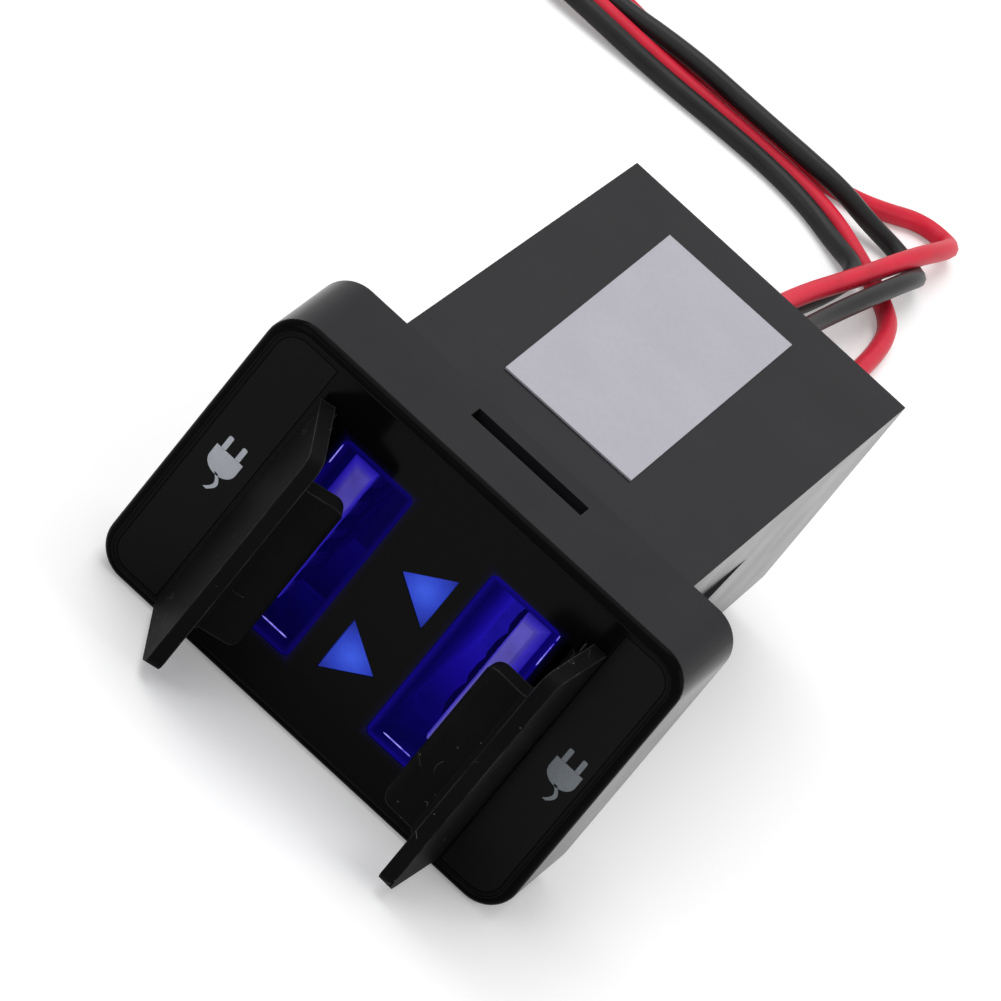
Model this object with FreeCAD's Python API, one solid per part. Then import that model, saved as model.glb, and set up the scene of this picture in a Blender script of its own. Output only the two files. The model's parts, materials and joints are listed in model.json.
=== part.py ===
import FreeCAD, Part
import math
import os

# Twin charging socket for a car dash. A switch-sized bezel holds a gloss face with two
# upright ports, each under a hinged cover, and a drafted housing carries the boards.
# Sizes are in millimetres. X runs right along the face, Y runs back into the dash and
# Z is up. Until the last step the origin is the face's centre, level with the bezel's
# front outer edge; the finished pieces are then moved to stand on Z = 0.

V = FreeCAD.Vector

# Fits
panel_gap = 0.05
hinge_gap = 0.06
pin_gap = 0.03
board_gap = 0.1

# Bezel
bezel_width = 33.2
bezel_height = 22.0
bezel_depth = 7.7
bezel_corner = 2.4
bezel_wall = 1.3
bezel_rim = 0.65
front_round = 0.6
web_thickness = 1.5
release_slot_length = 8.95
release_slot_width = 1.35
release_slot_from_web = 0.15

# Face panel and its two end inlays
panel_thickness = 2.0
inlay_margin = 0.3
inlay_thickness = 0.7

# Hinge lines, and the port windows beside them, seen from the front
port_offset = bezel_width * 0.1807
hinge_offset = port_offset + 4.25
inlay_edge = hinge_offset + 1.5
window_width = 5.6
window_height = bezel_height - 7.8
window_corner = 0.5

# Translucent liner in each port
liner_wall = 0.35
liner_depth = 7.55
liner_flange = 0.35
liner_flange_thickness = 0.8

# Receptacle behind each liner
shell_length = 11.0
shell_wall = 0.3
cavity_height = window_height - 1.6
cavity_width = 4.9
insulator_depth = 4.0
tongue_thickness = 1.85
tongue_height = cavity_height - 1.5
tongue_outer_gap = 0.5
tongue_setback = 1.2
finger_length = 4.2
finger_width = 1.6
finger_spread = 6.4
finger_slit = 0.35

# Contact springs on each tongue
contact_heights = [tongue_height * share for share in (-0.315, -0.09, 0.09, 0.315)]
contact_width = 1.0
contact_thickness = 0.2
contact_bump = 0.35
contact_tail = 1.9

# Arrow lenses on the face
arrow_height = bezel_height * 0.186
arrow_length = bezel_width * 0.09
arrow_gap = 0.06
upper_arrow_tip = (-bezel_width * 0.032, bezel_height * 0.13)
lower_arrow_tip = (bezel_width * 0.047, -bezel_height * 0.178)
pipe_size = arrow_length * 0.87
pipe_clearance = 0.9
pipe_flange = 0.3
pipe_flange_thickness = 0.7

# Hinged covers, drawn closed and then opened by their own angle
hinge_sink = 0.3
barrel_radius = 0.55
neck_reach = 0.9
neck_under = 0.15
cover_low = -bezel_height / 2 + 0.8
cover_high = bezel_height / 2 - 2.8
barrel_low = cover_low + 1.3
barrel_high = cover_high - 1.3
cover_root = 0.4
cover_reach = 7.2
cover_thickness = 1.05
cover_lift = 0.05
cover_corner = 0.95
blade_front = 6.15
blade_thickness = 1.4
blade_depth = 3.25
blade_length = window_height - 2.2
blade_centre = -0.4
blade_corner = 0.9
blade_nose = 0.75
blade_foot = 0.3
blade_foot_depth = 0.5
left_open_angle = 68.3
right_open_angle = 86.6

# Hinge pins
pin_radius = 0.25
pin_seat = 0.9

# Housing, which narrows towards the back
housing_width_front = bezel_width * 0.714
housing_width_back = bezel_width * 0.69
housing_height_front = bezel_height - 4.2
housing_height_back = bezel_height - 6.2
housing_back = 48.6
housing_wall = 1.2
flange_width = bezel_width * 0.82
flange_height = bezel_height - 3.4
flange_thickness = 1.6
rail_width = 1.0
rail_height = 0.8

# Snap wedges on the housing's sides
wedge_height = bezel_height * 0.28
wedge_rise = 0.9
wedge_start = 10.8
wedge_end = 28.9

# Rear cover and the grommet in it
rear_thickness = 1.6
grommet_width = 6.4
grommet_height = 5.4
grommet_corner = 1.6
grommet_lip = 0.7
grommet_stand = 1.5
grommet_level = 4.8 - housing_height_back / 2

# Label on top of the housing
label_width = 10.3
label_length = 28.1
label_thickness = 0.12
label_offset = -1.06
label_middle = 30.05
label_turn = 1.0

# Boards and what stands on them
board_thickness = 1.2
port_board_height = housing_height_back - 1.4
power_board_width = housing_width_back - 3.3
power_board_level = 2.5 - housing_height_back / 2
inductor_radius = 3.4
inductor_height = 4.6
inductor_waist = 2.5
inductor_flange = 0.8
choke_place = 8.0
capacitor_radius = 2.5
capacitor_length = 7.0
capacitor_spacing = 6.2
capacitor_start = 15.5
chip_length = 4.9
chip_width = 3.9
chip_height = 1.5
leg_count = 4
leg_pitch = 1.27
leg_width = 0.42
leg_reach = 1.0
leg_thickness = 0.25
header_pins = 4
header_pitch = 2.54
header_pin = 0.64
header_reach = 2.2
header_height = 1.0
led_size = pipe_size + 0.2
led_height = 1.9

# Leads: a surface under the bezel, four leads and their wound-up length
lead_diameter = 1.35
lead_spacing = 2.2
tie_thickness = 0.5
tie_width = 2.4
coil_pitch = 1.45
coil_centre_x = -37.0
coil_centre_back = 54.3
outer_coil_radius = 9.7
tip_radius = 0.4
tip_length = 5.0

# Places worked out from the sizes above
face = -front_round
floor = -bezel_height / 2
panel_width = bezel_width - 2 * bezel_rim - 2 * panel_gap
panel_height = bezel_height - 2 * bezel_rim - 2 * panel_gap
panel_corner = bezel_corner - bezel_rim
panel_back = face + panel_thickness
hinge_y = face + hinge_sink
liner_front = face + panel_gap
liner_back = liner_front + liner_depth
shell_back = liner_back + shell_length
board_front = shell_back + 0.4
board_back = board_front + board_thickness
pipe_end = board_front - led_height - pipe_clearance
web_front = bezel_depth - web_thickness
lead_radius = lead_diameter / 2
cavity_inner = port_offset - cavity_width / 2
tongue_outer = port_offset + cavity_width / 2 - tongue_outer_gap
tongue_inner = tongue_outer - tongue_thickness
tongue_front = face + tongue_setback


def outline(width, height, radius, y, x=0.0, z=0.0):
    """Return a closed rounded rectangle across Y, centred on x and z."""
    half_w, half_h = width / 2, height / 2
    edges = []
    corners = [(1, 1, 0), (-1, 1, 90), (-1, -1, 180), (1, -1, 270)]
    ends = []
    for sign_x, sign_z, start in corners:
        cx = x + sign_x * (half_w - radius)
        cz = z + sign_z * (half_h - radius)
        at = [V(cx + radius * math.cos(math.radians(start + turn)), y,
                cz + radius * math.sin(math.radians(start + turn))) for turn in (0, 45, 90)]
        ends.append(at)
    for i, at in enumerate(ends):
        edges.append(Part.Arc(at[0], at[1], at[2]).toShape())
        edges.append(Part.LineSegment(at[2], ends[(i + 1) % 4][0]).toShape())
    return Part.Wire(edges)


def block(width, height, radius, y0, y1, x=0.0, z=0.0):
    """Return a rounded bar from y0 back to y1."""
    wire = outline(width, height, radius, y0, x, z)
    return Part.Face(wire).extrude(V(0, y1 - y0, 0))


def box(x0, x1, y0, y1, z0, z1):
    """Return a plain box between two corners."""
    low = V(min(x0, x1), min(y0, y1), min(z0, z1))
    return Part.makeBox(abs(x1 - x0), abs(y1 - y0), abs(z1 - z0), low)


def prism(points, along):
    """Return the polygon through the points, drawn out along a vector."""
    return Part.Face(Part.makePolygon(points + [points[0]])).extrude(along)


def tapered(width0, height0, y0, width1, height1, y1):
    """Return a four-sided body that narrows from y0 back to y1."""
    wires = []
    for width, height, y in ((width0, height0, y0), (width1, height1, y1)):
        corners = [V(sx * width / 2, y, sz * height / 2) for sx, sz in ((-1, -1), (1, -1), (1, 1), (-1, 1))]
        wires.append(Part.makePolygon(corners + [corners[0]]))
    return Part.makeLoft(wires, True, True)


def housing_size(y):
    """Return the housing's outside width and height at y."""
    share = (y - bezel_depth) / (housing_back - bezel_depth)
    width = housing_width_front + share * (housing_width_back - housing_width_front)
    height = housing_height_front + share * (housing_height_back - housing_height_front)
    return width, height


def make_bezel():
    """Bezel: rounded front edge, a seat for the panel, a rear web and the release slot."""
    body = block(bezel_width, bezel_height, bezel_corner, face, bezel_depth)
    front = [e for e in body.Edges if e.BoundBox.YMax < face + 1e-6]
    body = body.makeFillet(front_round, front)
    seat = block(bezel_width - 2 * bezel_rim, bezel_height - 2 * bezel_rim, panel_corner,
                 face - 1, panel_back)
    inner_corner = bezel_corner - bezel_wall
    cavity = block(bezel_width - 2 * bezel_wall, bezel_height - 2 * bezel_wall, inner_corner,
                   face, web_front)
    width, height = housing_size(web_front)
    hole = box(-width / 2 - board_gap, width / 2 + board_gap, web_front - 1, bezel_depth + 1,
               -height / 2 - board_gap, height / 2 + board_gap)
    slot_back = web_front - release_slot_from_web
    slot = box(-release_slot_length / 2, release_slot_length / 2, slot_back - release_slot_width,
               slot_back, bezel_height / 2 - bezel_wall - 0.5, bezel_height / 2 + 1)
    return body.cut(seat).cut(cavity).cut(hole).cut(slot)


def arrow(tip, way, grow, y0, y1):
    """Return a triangular bar whose point looks left (way -1) or right (way 1)."""
    x, z = tip
    base = x - way * (arrow_length + grow)
    half = arrow_height / 2 + grow
    nose = x + way * 1.5 * grow
    points = [V(nose, y0, z), V(base, y0, z + half), V(base, y0, z - half)]
    return prism(points, V(0, y1 - y0, 0))


def make_inlay_shape(side, grow, depth):
    """Return the end inlay's outline as a solid, larger all round by grow."""
    inner = block(panel_width - 2 * inlay_margin + 2 * grow, panel_height - 2 * inlay_margin + 2 * grow,
                  panel_corner - inlay_margin + grow, face, face + depth)
    keep = box(side * (inlay_edge - grow), side * bezel_width, face - 1, face + depth + 1,
               -bezel_height, bezel_height)
    return inner.common(keep)


def make_face_panel():
    """Face panel: two windows, two arrow holes, the hinge channels and the inlay pockets."""
    panel = block(panel_width, panel_height, panel_corner - panel_gap, face, panel_back)
    for side in (-1, 1):
        window = block(window_width, window_height, window_corner, face - 1, panel_back + 1,
                       side * port_offset)
        channel = box(side * (hinge_offset + barrel_radius + hinge_gap),
                      side * (hinge_offset - neck_reach - 0.1), face - 1,
                      hinge_y + barrel_radius + hinge_gap,
                      barrel_low - panel_gap, barrel_high + panel_gap)
        trench = box(side * (hinge_offset - pin_radius - 0.01), side * (hinge_offset + pin_radius + 0.01),
                     face - 1, hinge_y, barrel_low - pin_seat, barrel_high + pin_seat)
        bed = Part.makeCylinder(pin_radius + 0.01, barrel_high - barrel_low + 2 * pin_seat,
                                V(side * hinge_offset, hinge_y, barrel_low - pin_seat))
        pocket = make_inlay_shape(side, panel_gap, inlay_thickness)
        panel = panel.cut(window).cut(channel).cut(trench).cut(bed).cut(pocket)
    for tip, way in ((upper_arrow_tip, -1), (lower_arrow_tip, 1)):
        panel = panel.cut(arrow(tip, way, arrow_gap, face - 1, panel_back + 1))
    return panel


def make_cover(side, angle):
    """Cover with its hinge barrel and its inner blade, turned open by the angle."""
    def at(reach, depth, z):
        return V(side * (hinge_offset - reach), hinge_y + depth, z)

    under = face - cover_lift - hinge_y
    top = under - cover_thickness
    length = cover_high - cover_low
    plate = block(cover_reach - cover_root, length, cover_corner, hinge_y + top, hinge_y + under,
                  side * (hinge_offset - (cover_root + cover_reach) / 2), (cover_low + cover_high) / 2)
    root = box(at(cover_root, 0, 0).x, at(cover_root + cover_corner, 0, 0).x, hinge_y + top,
               hinge_y + under, cover_low, cover_high)
    barrel = Part.makeCylinder(barrel_radius, barrel_high - barrel_low, at(0, 0, barrel_low))
    neck = box(at(0, 0, 0).x, at(neck_reach, 0, 0).x, hinge_y - barrel_radius, hinge_y + neck_under,
               barrel_low, barrel_high)
    tip = under + blade_depth
    back = blade_front - blade_thickness
    nose = blade_nose
    half_nose = nose * (1 - math.sqrt(0.5))
    low = blade_centre - blade_length / 2
    profile = Part.Wire([
        Part.LineSegment(at(back, under - 0.2, low), at(back, tip, low)).toShape(),
        Part.LineSegment(at(back, tip, low), at(blade_front - nose, tip, low)).toShape(),
        Part.Arc(at(blade_front - nose, tip, low), at(blade_front - half_nose, tip - half_nose, low),
                 at(blade_front, tip - nose, low)).toShape(),
        Part.LineSegment(at(blade_front, tip - nose, low), at(blade_front, under - 0.2, low)).toShape(),
        Part.LineSegment(at(blade_front, under - 0.2, low), at(back, under - 0.2, low)).toShape()])
    blade = Part.Face(profile).extrude(V(0, 0, blade_length))
    trim = Part.makeBox(2 * blade_thickness, 2 * blade_depth, blade_length,
                        V(at(blade_front, 0, 0).x - blade_thickness, hinge_y + tip - 2 * blade_depth, low))
    corners = [e for e in trim.Edges if e.BoundBox.XLength > blade_thickness
               and e.BoundBox.YMin > hinge_y + tip - 1e-6]
    trim = trim.makeFillet(blade_corner, corners)
    foot = []
    for grow, depth in ((blade_foot, under), (0.0, under + blade_foot_depth)):
        ends = [at(back - grow, depth, low - grow), at(blade_front + grow, depth, low - grow),
                at(blade_front + grow, depth, low + blade_length + grow),
                at(back - grow, depth, low + blade_length + grow)]
        foot.append(Part.makePolygon(ends + [ends[0]]))
    foot = Part.makeLoft(foot, True, True)
    hole = Part.makeCylinder(pin_radius + pin_gap, length, at(0, 0, cover_low))
    cover = plate.fuse([root, barrel, neck, blade.common(trim), foot]).cut(hole).removeSplitter()
    cover.rotate(at(0, 0, 0), V(0, 0, 1), side * angle)
    return cover


def make_hinge_pin(side):
    """Steel pin through the cover's barrel, seated in the panel at both ends."""
    seat = pin_seat - panel_gap
    return Part.makeCylinder(pin_radius, barrel_high - barrel_low + 2 * seat,
                             V(side * hinge_offset, hinge_y, barrel_low - seat))


def make_liner(side):
    """Port liner: a thin sleeve in the window with a flange behind the panel."""
    x = side * port_offset
    width = window_width - 2 * panel_gap
    height = window_height - 2 * panel_gap
    sleeve = block(width, height, window_corner - panel_gap, liner_front, liner_back, x)
    flange = block(width + 2 * liner_flange, height + 2 * liner_flange, window_corner, panel_back,
                   panel_back + liner_flange_thickness, x)
    bore = block(width - 2 * liner_wall, height - 2 * liner_wall, 0.2, liner_front - 1, liner_back + 1, x)
    return sleeve.fuse(flange).cut(bore)


def make_shell(side):
    """Receptacle shell: a folded steel sleeve with two spring fingers in each broad wall."""
    x = side * port_offset
    outer_w, outer_h = cavity_width + 2 * shell_wall, cavity_height + 2 * shell_wall
    shell = block(outer_w, outer_h, 0.6, liner_back, shell_back, x)
    shell = shell.cut(block(cavity_width, cavity_height, 0.3, liner_back - 1, shell_back + 1, x))
    start = liner_back + 1.2
    for wall in (-1, 1):
        wall_in = x + wall * cavity_width / 2
        wall_out = x + wall * outer_w / 2
        for z in (-finger_spread / 2, finger_spread / 2):
            half = finger_width / 2
            for edge in (-1, 1):
                z0 = z + edge * half
                shell = shell.cut(box(wall_in - wall * 0.1, wall_out + wall * 0.1, start,
                                      start + finger_length, z0, z0 + edge * finger_slit))
            shell = shell.cut(box(wall_in - wall * 0.1, wall_out + wall * 0.1, start - finger_slit, start,
                                  z - half - finger_slit, z + half + finger_slit))
    return shell


def make_tongue(side):
    """Insulator: a block across the shell's back end and the tongue that reaches forward."""
    x = side * port_offset
    height = cavity_height - 2 * panel_gap
    width = cavity_width - 2 * panel_gap
    base = block(width, height, 0.25, shell_back - insulator_depth, shell_back, x)
    tongue = box(side * tongue_inner, side * tongue_outer, tongue_front, shell_back - insulator_depth,
                 -tongue_height / 2, tongue_height / 2)
    nose = [e for e in tongue.Edges if e.BoundBox.YMax < tongue_front + 1e-6]
    tongue = tongue.makeChamfer(0.35, nose)
    body = base.fuse(tongue)
    for z in contact_heights:
        slot = box(side * (tongue_inner - 1), side * (tongue_inner + contact_thickness), tongue_front + 0.9,
                   shell_back + 1, z - contact_width / 2 - 0.05, z + contact_width / 2 + 0.05)
        body = body.cut(slot)
    return body


def make_contacts(side):
    """Four contact springs, each with a raised bump and a tail through the port board."""
    front = tongue_front + 1.0
    back = shell_back - insulator_depth
    tail = board_front + contact_tail
    rest = tongue_inner + contact_thickness
    line = [(front, 0.0), (front + 1.6, contact_bump + contact_thickness),
            (front + 3.0, contact_bump + contact_thickness), (front + 6.0, 0.0), (back, 0.0), (tail, 0.0)]
    pieces = []
    for z in contact_heights:
        inner = [V(side * (rest - rise), y, z - contact_width / 2) for y, rise in line]
        outer = [V(p.x - side * contact_thickness, p.y, p.z) for p in reversed(inner)]
        pieces.append(prism(inner + outer, V(0, 0, contact_width)))
    return Part.makeCompound(pieces)


def make_light_pipe(tip, way):
    """Arrow lens: its front fills the arrow hole and its pipe runs back to a lamp."""
    lens = arrow(tip, way, 0.0, liner_front, panel_back)
    middle_x = tip[0] - way * arrow_length / 2
    height = arrow_height + 2 * pipe_flange
    flange = block(arrow_length + pipe_flange, height, 0.3, panel_back, panel_back + pipe_flange_thickness,
                   middle_x, tip[1])
    pipe = block(pipe_size, pipe_size, pipe_size * 0.12, panel_back, pipe_end, middle_x, tip[1])
    return lens.fuse([flange, pipe]).removeSplitter()


def make_housing():
    """Housing: drafted shell with a front flange, board rails and a snap wedge each side."""
    front = panel_back + 2.4
    wf, hf = housing_size(front)
    body = tapered(wf, hf, front, housing_width_back, housing_height_back, housing_back)
    flange = block(flange_width, flange_height, 0.8, web_front - flange_thickness, web_front)
    body = body.fuse(flange)
    for side in (-1, 1):
        at_start = housing_size(wedge_start)[0] / 2
        at_end = housing_size(wedge_end)[0] / 2
        points = [V(side * (at_start - 0.5), wedge_start, -wedge_height / 2),
                  V(side * (at_start + wedge_rise), wedge_start, -wedge_height / 2),
                  V(side * at_end, wedge_end, -wedge_height / 2),
                  V(side * (at_end - 0.5), wedge_end, -wedge_height / 2)]
        body = body.fuse(prism(points, V(0, 0, wedge_height)))
    thin = 2 * housing_wall
    cavity = tapered(wf - thin, hf - thin, front - 0.001, housing_width_back - thin,
                     housing_height_back - thin, housing_back + 0.001)
    ledge = housing_wall / 2
    mouth = box(-housing_width_back / 2 + ledge, housing_width_back / 2 - ledge,
                housing_back - rear_thickness, housing_back + 1,
                -housing_height_back / 2 + ledge, housing_height_back / 2 - ledge)
    body = body.cut(cavity).cut(mouth)
    for side in (-1, 1):
        wall = housing_size(board_back)[0] / 2 - housing_wall
        rail = box(side * (wall + 0.3), side * (power_board_width / 2 - rail_width), board_back,
                   housing_back - rear_thickness, power_board_level - rail_height, power_board_level)
        body = body.fuse(rail)
    return body.removeSplitter()


def make_rear_cover():
    """Rear cover: a plate let into the housing's back with the grommet's opening."""
    ledge = housing_wall / 2 + panel_gap
    plate = box(-housing_width_back / 2 + ledge, housing_width_back / 2 - ledge,
                housing_back - rear_thickness + panel_gap, housing_back,
                -housing_height_back / 2 + ledge, housing_height_back / 2 - ledge)
    hole = block(grommet_width, grommet_height, grommet_corner, housing_back - rear_thickness - 1,
                 housing_back + 1, 0, grommet_level)
    return plate.cut(hole)


def make_grommet():
    """Grommet: a rubber plug with a lip on each side of the rear cover."""
    neck = block(grommet_width - 2 * panel_gap, grommet_height - 2 * panel_gap, grommet_corner - panel_gap,
                 housing_back - rear_thickness, housing_back, 0, grommet_level)
    width, height = grommet_width + 2 * grommet_lip, grommet_height + 2 * grommet_lip
    corner = grommet_corner + grommet_lip
    outer = block(width, height, corner, housing_back, housing_back + grommet_stand, 0, grommet_level)
    rim = [e for e in outer.Edges if e.BoundBox.YMin > housing_back + grommet_stand - 1e-6]
    outer = outer.makeChamfer(0.4, rim)
    inner = block(width, height, corner, housing_back - rear_thickness - 1.0,
                  housing_back - rear_thickness, 0, grommet_level)
    return neck.fuse([outer, inner]).removeSplitter()


def make_label():
    """Blank label stuck on the sloping top of the housing, a little askew."""
    label = Part.makeBox(label_width, label_length, label_thickness,
                         V(-label_width / 2, -label_length / 2, 0))
    label.rotate(V(0, 0, 0), V(0, 0, 1), label_turn)
    slope = math.atan2(housing_height_back - housing_height_front, 2 * (housing_back - bezel_depth))
    label.rotate(V(0, 0, 0), V(1, 0, 0), math.degrees(slope))
    label.translate(V(label_offset, label_middle, housing_size(label_middle)[1] / 2))
    return label


def make_port_board():
    """Board across the housing that both receptacles and the lamps are soldered to."""
    width = housing_size(board_back)[0] - 2 * housing_wall - 2 * board_gap
    board = box(-width / 2, width / 2, board_front, board_back, -port_board_height / 2, port_board_height / 2)
    for side in (-1, 1):
        x = side * (tongue_inner + contact_thickness / 2)
        for z in contact_heights:
            board = board.cut(box(x - 0.3, x + 0.3, board_front - 1, board_back + 1, z - 0.6, z + 0.6))
    return board


def make_power_board():
    """Board along the housing that carries the voltage converter."""
    half = power_board_width / 2
    return box(-half, half, board_back + 0.1, housing_back - rear_thickness - 1.2, power_board_level,
               power_board_level + board_thickness)


def make_board_pins():
    """Row of right-angle pins that join the two boards."""
    level = power_board_level + board_thickness
    pieces = []
    for i in range(header_pins):
        x = (i - (header_pins - 1) / 2) * header_pitch
        low, high = x - header_pin / 2, x + header_pin / 2
        turn = board_back + header_reach
        top = level + header_height
        across = box(low, high, board_back, turn, top, top + header_pin)
        down = box(low, high, turn - header_pin, turn, level, top)
        pieces.append(across.fuse(down).removeSplitter())
    return Part.makeCompound(pieces)


def make_inductor(x, y):
    """Drum-core choke: two ferrite flanges and the wound waist between them."""
    level = power_board_level + board_thickness
    low = Part.makeCylinder(inductor_radius, inductor_flange, V(x, y, level))
    waist = Part.makeCylinder(inductor_waist + 0.4, inductor_height, V(x, y, level))
    high = Part.makeCylinder(inductor_radius, inductor_flange, V(x, y, level + inductor_height - inductor_flange))
    return low.fuse([waist, high]).removeSplitter()


def make_capacitor(x, y):
    """Capacitor can lying along the board, with a rolled neck and two leads."""
    level = power_board_level + board_thickness
    centre = level + capacitor_radius + 0.05
    can = Part.makeCylinder(capacitor_radius, capacitor_length, V(x, y, centre), V(0, 1, 0))
    groove = Part.makeCylinder(capacitor_radius + 1, 0.5, V(x, y + 1.2, centre), V(0, 1, 0))
    groove = groove.cut(Part.makeCylinder(capacitor_radius - 0.25, 0.5, V(x, y + 1.2, centre), V(0, 1, 0)))
    can = can.cut(groove)
    for side in (-1, 1):
        lead = Part.makeCylinder(0.3, 1.2, V(x + side * 1.0, y - 1.2, centre), V(0, 1, 0))
        leg = Part.makeCylinder(0.3, centre - level, V(x + side * 1.0, y - 1.2, level))
        can = can.fuse([lead, leg])
    return can


def make_chip(x, y):
    """Converter chip with its two rows of bent legs."""
    level = power_board_level + board_thickness
    half = chip_width / 2
    body = box(x - chip_length / 2, x + chip_length / 2, y - half, y + half, level + 0.15,
               level + chip_height)
    for row in (-1, 1):
        for i in range(leg_count):
            cx = x + (i - (leg_count - 1) / 2) * leg_pitch
            edge = y + row * half
            shoulder = [V(cx - leg_width / 2, edge - row * 0.2, level + 0.6),
                        V(cx - leg_width / 2, edge + row * leg_reach / 2, level + 0.6),
                        V(cx - leg_width / 2, edge + row * leg_reach / 2, level),
                        V(cx - leg_width / 2, edge + row * leg_reach, level),
                        V(cx - leg_width / 2, edge + row * leg_reach, level + leg_thickness),
                        V(cx - leg_width / 2, edge + row * (leg_reach / 2 + leg_thickness), level + leg_thickness),
                        V(cx - leg_width / 2, edge + row * (leg_reach / 2 + leg_thickness),
                          level + 0.6 + leg_thickness),
                        V(cx - leg_width / 2, edge - row * 0.2, level + 0.6 + leg_thickness)]
            body = body.fuse(prism(shoulder, V(leg_width, 0, 0)))
    return body


def make_lamp(tip, way):
    """Lamp on the port board behind an arrow's light pipe."""
    x = tip[0] - way * arrow_length / 2
    half = led_size / 2
    lamp = box(x - half, x + half, board_front - led_height, board_front, tip[1] - half, tip[1] + half)
    dish = Part.makeCone(led_size * 0.42, led_size * 0.3, 0.6, V(x, board_front - led_height, tip[1]), V(0, 1, 0))
    return lamp.cut(dish)


def lead_route(points):
    """Turn points (x, distance behind the housing, height over the surface) into places."""
    return [V(x, housing_back + back, floor + height) for x, back, height in points]


def make_lead(name, points):
    """Sweep the lead's round section along straight runs joined by tangent arcs."""
    route = lead_route(points)
    edges = []
    start = route[0]
    radii = []
    for before, corner, after in zip(route, route[1:], route[2:]):
        into, out = corner - before, after - corner
        run = min(into.Length, out.Length)
        half_turn = into.getAngle(out) / 2
        radius = 0.45 * run / math.tan(half_turn)
        cut = 0.45 * run
        into.normalize()
        out.normalize()
        first, last = corner - into * cut, corner + out * cut
        middle_way = out - into
        middle_way.normalize()
        centre = corner + middle_way * (radius / math.cos(half_turn))
        middle = centre - middle_way * radius
        edges.append(Part.LineSegment(start, first).toShape())
        edges.append(Part.Arc(first, middle, last).toShape())
        start = last
        radii.append(round(radius, 1))
    edges.append(Part.LineSegment(start, route[-1]).toShape())
    path = Part.Wire(edges)
    section = Part.Wire(Part.Circle(route[0], route[1] - route[0], lead_radius).toShape())
    tube = path.makePipeShell([section], True, False)
    expected = math.pi * lead_radius ** 2 * path.Length
    print(name, "length", round(path.Length, 1), "radii", radii,
          "volume over section times length", round(tube.Volume / expected, 4))
    return tube


def make_coil(radius, turns):
    """Outer shape of one lead's turns, notched where the leads run in under them."""
    low = floor + coil_level - lead_radius
    height = turns * coil_pitch + 0.22
    centre = V(coil_centre_x, housing_back + coil_centre_back, low)
    ring = Part.makeCylinder(radius + lead_radius, height, centre)
    ring = ring.cut(Part.makeCylinder(radius - lead_radius, height, centre))
    reach = outer_coil_radius + coil_pitch
    inner_lane = outer_coil_radius - 3 * coil_pitch
    notch = box(centre.x, centre.x + reach, centre.y - reach,
                centre.y - inner_lane + lead_radius + panel_gap, low - 1, low + lead_diameter + panel_gap)
    return ring.cut(notch)


def make_tie(turns):
    """Band round the wound leads."""
    pad = 0.05
    hole = outer_coil_radius - 3 * coil_pitch - lead_radius
    y0 = housing_back + coil_centre_back + math.sqrt(hole ** 2 - (tie_width / 2) ** 2) - pad
    y1 = housing_back + coil_centre_back + outer_coil_radius + lead_radius + pad
    low = floor + tie_thickness
    tall = low + (turns[0] - 0.25) * coil_pitch + lead_diameter + pad
    short = low + (turns[-1] - 0.25) * coil_pitch + lead_diameter + pad
    x = coil_centre_x - tie_width / 2
    inner = Part.makePolygon([V(x, y0, low), V(x, y1, low), V(x, y1, short), V(x, y0, tall), V(x, y0, low)])
    outer = inner.makeOffset2D(tie_thickness, 2)
    ring = Part.Face(outer).cut(Part.Face(inner))
    return ring.extrude(V(tie_width, 0, 0))


def make_tips(coils):
    """Tinned strand at the far end of each lead, lying on its own turns."""
    pieces = []
    for radius, turns in coils:
        angle = 2 * math.pi * turns
        x = coil_centre_x - radius * math.sin(angle)
        y = housing_back + coil_centre_back - radius * math.cos(angle)
        z = floor + coil_level + turns * coil_pitch
        way = V(-math.cos(angle), math.sin(angle), 0)
        pieces.append(Part.makeCylinder(tip_radius, tip_length, V(x, y, z), way))
    return Part.makeCompound(pieces)


lead_top = bezel_height / 2 + grommet_level + lead_spacing / 2
lead_low = lead_top - lead_spacing
lead_side = lead_spacing / 2
coil_level = tie_thickness + panel_gap + lead_radius
lanes = [coil_centre_back - outer_coil_radius + i * coil_pitch for i in range(4)]
lane_start = coil_centre_x + outer_coil_radius + 1.0
table = lead_radius + 0.025

# Each route: across, behind the housing, above the surface
red_lead_a_route = [
    (-lead_side, grommet_stand, lead_top), (-lead_side, 6.5, lead_top), (-1.5, 14.0, 6.9),
    (-1.85, 22.5, 3.6), (-1.6, 31.4, 2.3), (0.1, 40.0, 2.4), (1.4, 47.5, 2.6), (2.2, 53.2, 1.7),
    (1.8, 56.0, 0.8), (-0.8, 56.0, table), (-3.0, 53.2, table), (-6.5, 50.4, table),
    (-12.0, 49.0, table), (-19.5, 48.85, table), (lane_start, lanes[3], coil_level),
    (coil_centre_x, lanes[3], coil_level)]
black_lead_a_route = [
    (lead_side, grommet_stand, lead_top), (lead_side, 6.5, lead_top), (0.9, 14.0, 6.9),
    (0.4, 22.5, 3.7), (0.6, 31.4, 2.4), (1.9, 39.5, 2.5), (2.7, 45.8, 2.0), (2.6, 49.2, 0.8),
    (0.2, 50.6, table), (-2.8, 49.6, 1.3), (-6.2, 48.3, 1.95), (-12.0, 47.95, 2.0),
    (-19.0, 47.85, 2.05), (lane_start, lanes[2], coil_level), (coil_centre_x, lanes[2], coil_level)]
red_lead_b_route = [
    (lead_side, grommet_stand, lead_low), (lead_side, 6.5, lead_low), (2.0, 13.5, 4.9),
    (3.6, 21.5, 2.0), (4.8, 29.5, table), (4.8, 36.5, table), (3.2, 42.4, table),
    (-0.6, 45.6, table), (-5.2, 47.0, table), (-12.0, 47.25, table), (-19.5, 46.75, table),
    (lane_start, lanes[1], coil_level), (coil_centre_x, lanes[1], coil_level)]
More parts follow.
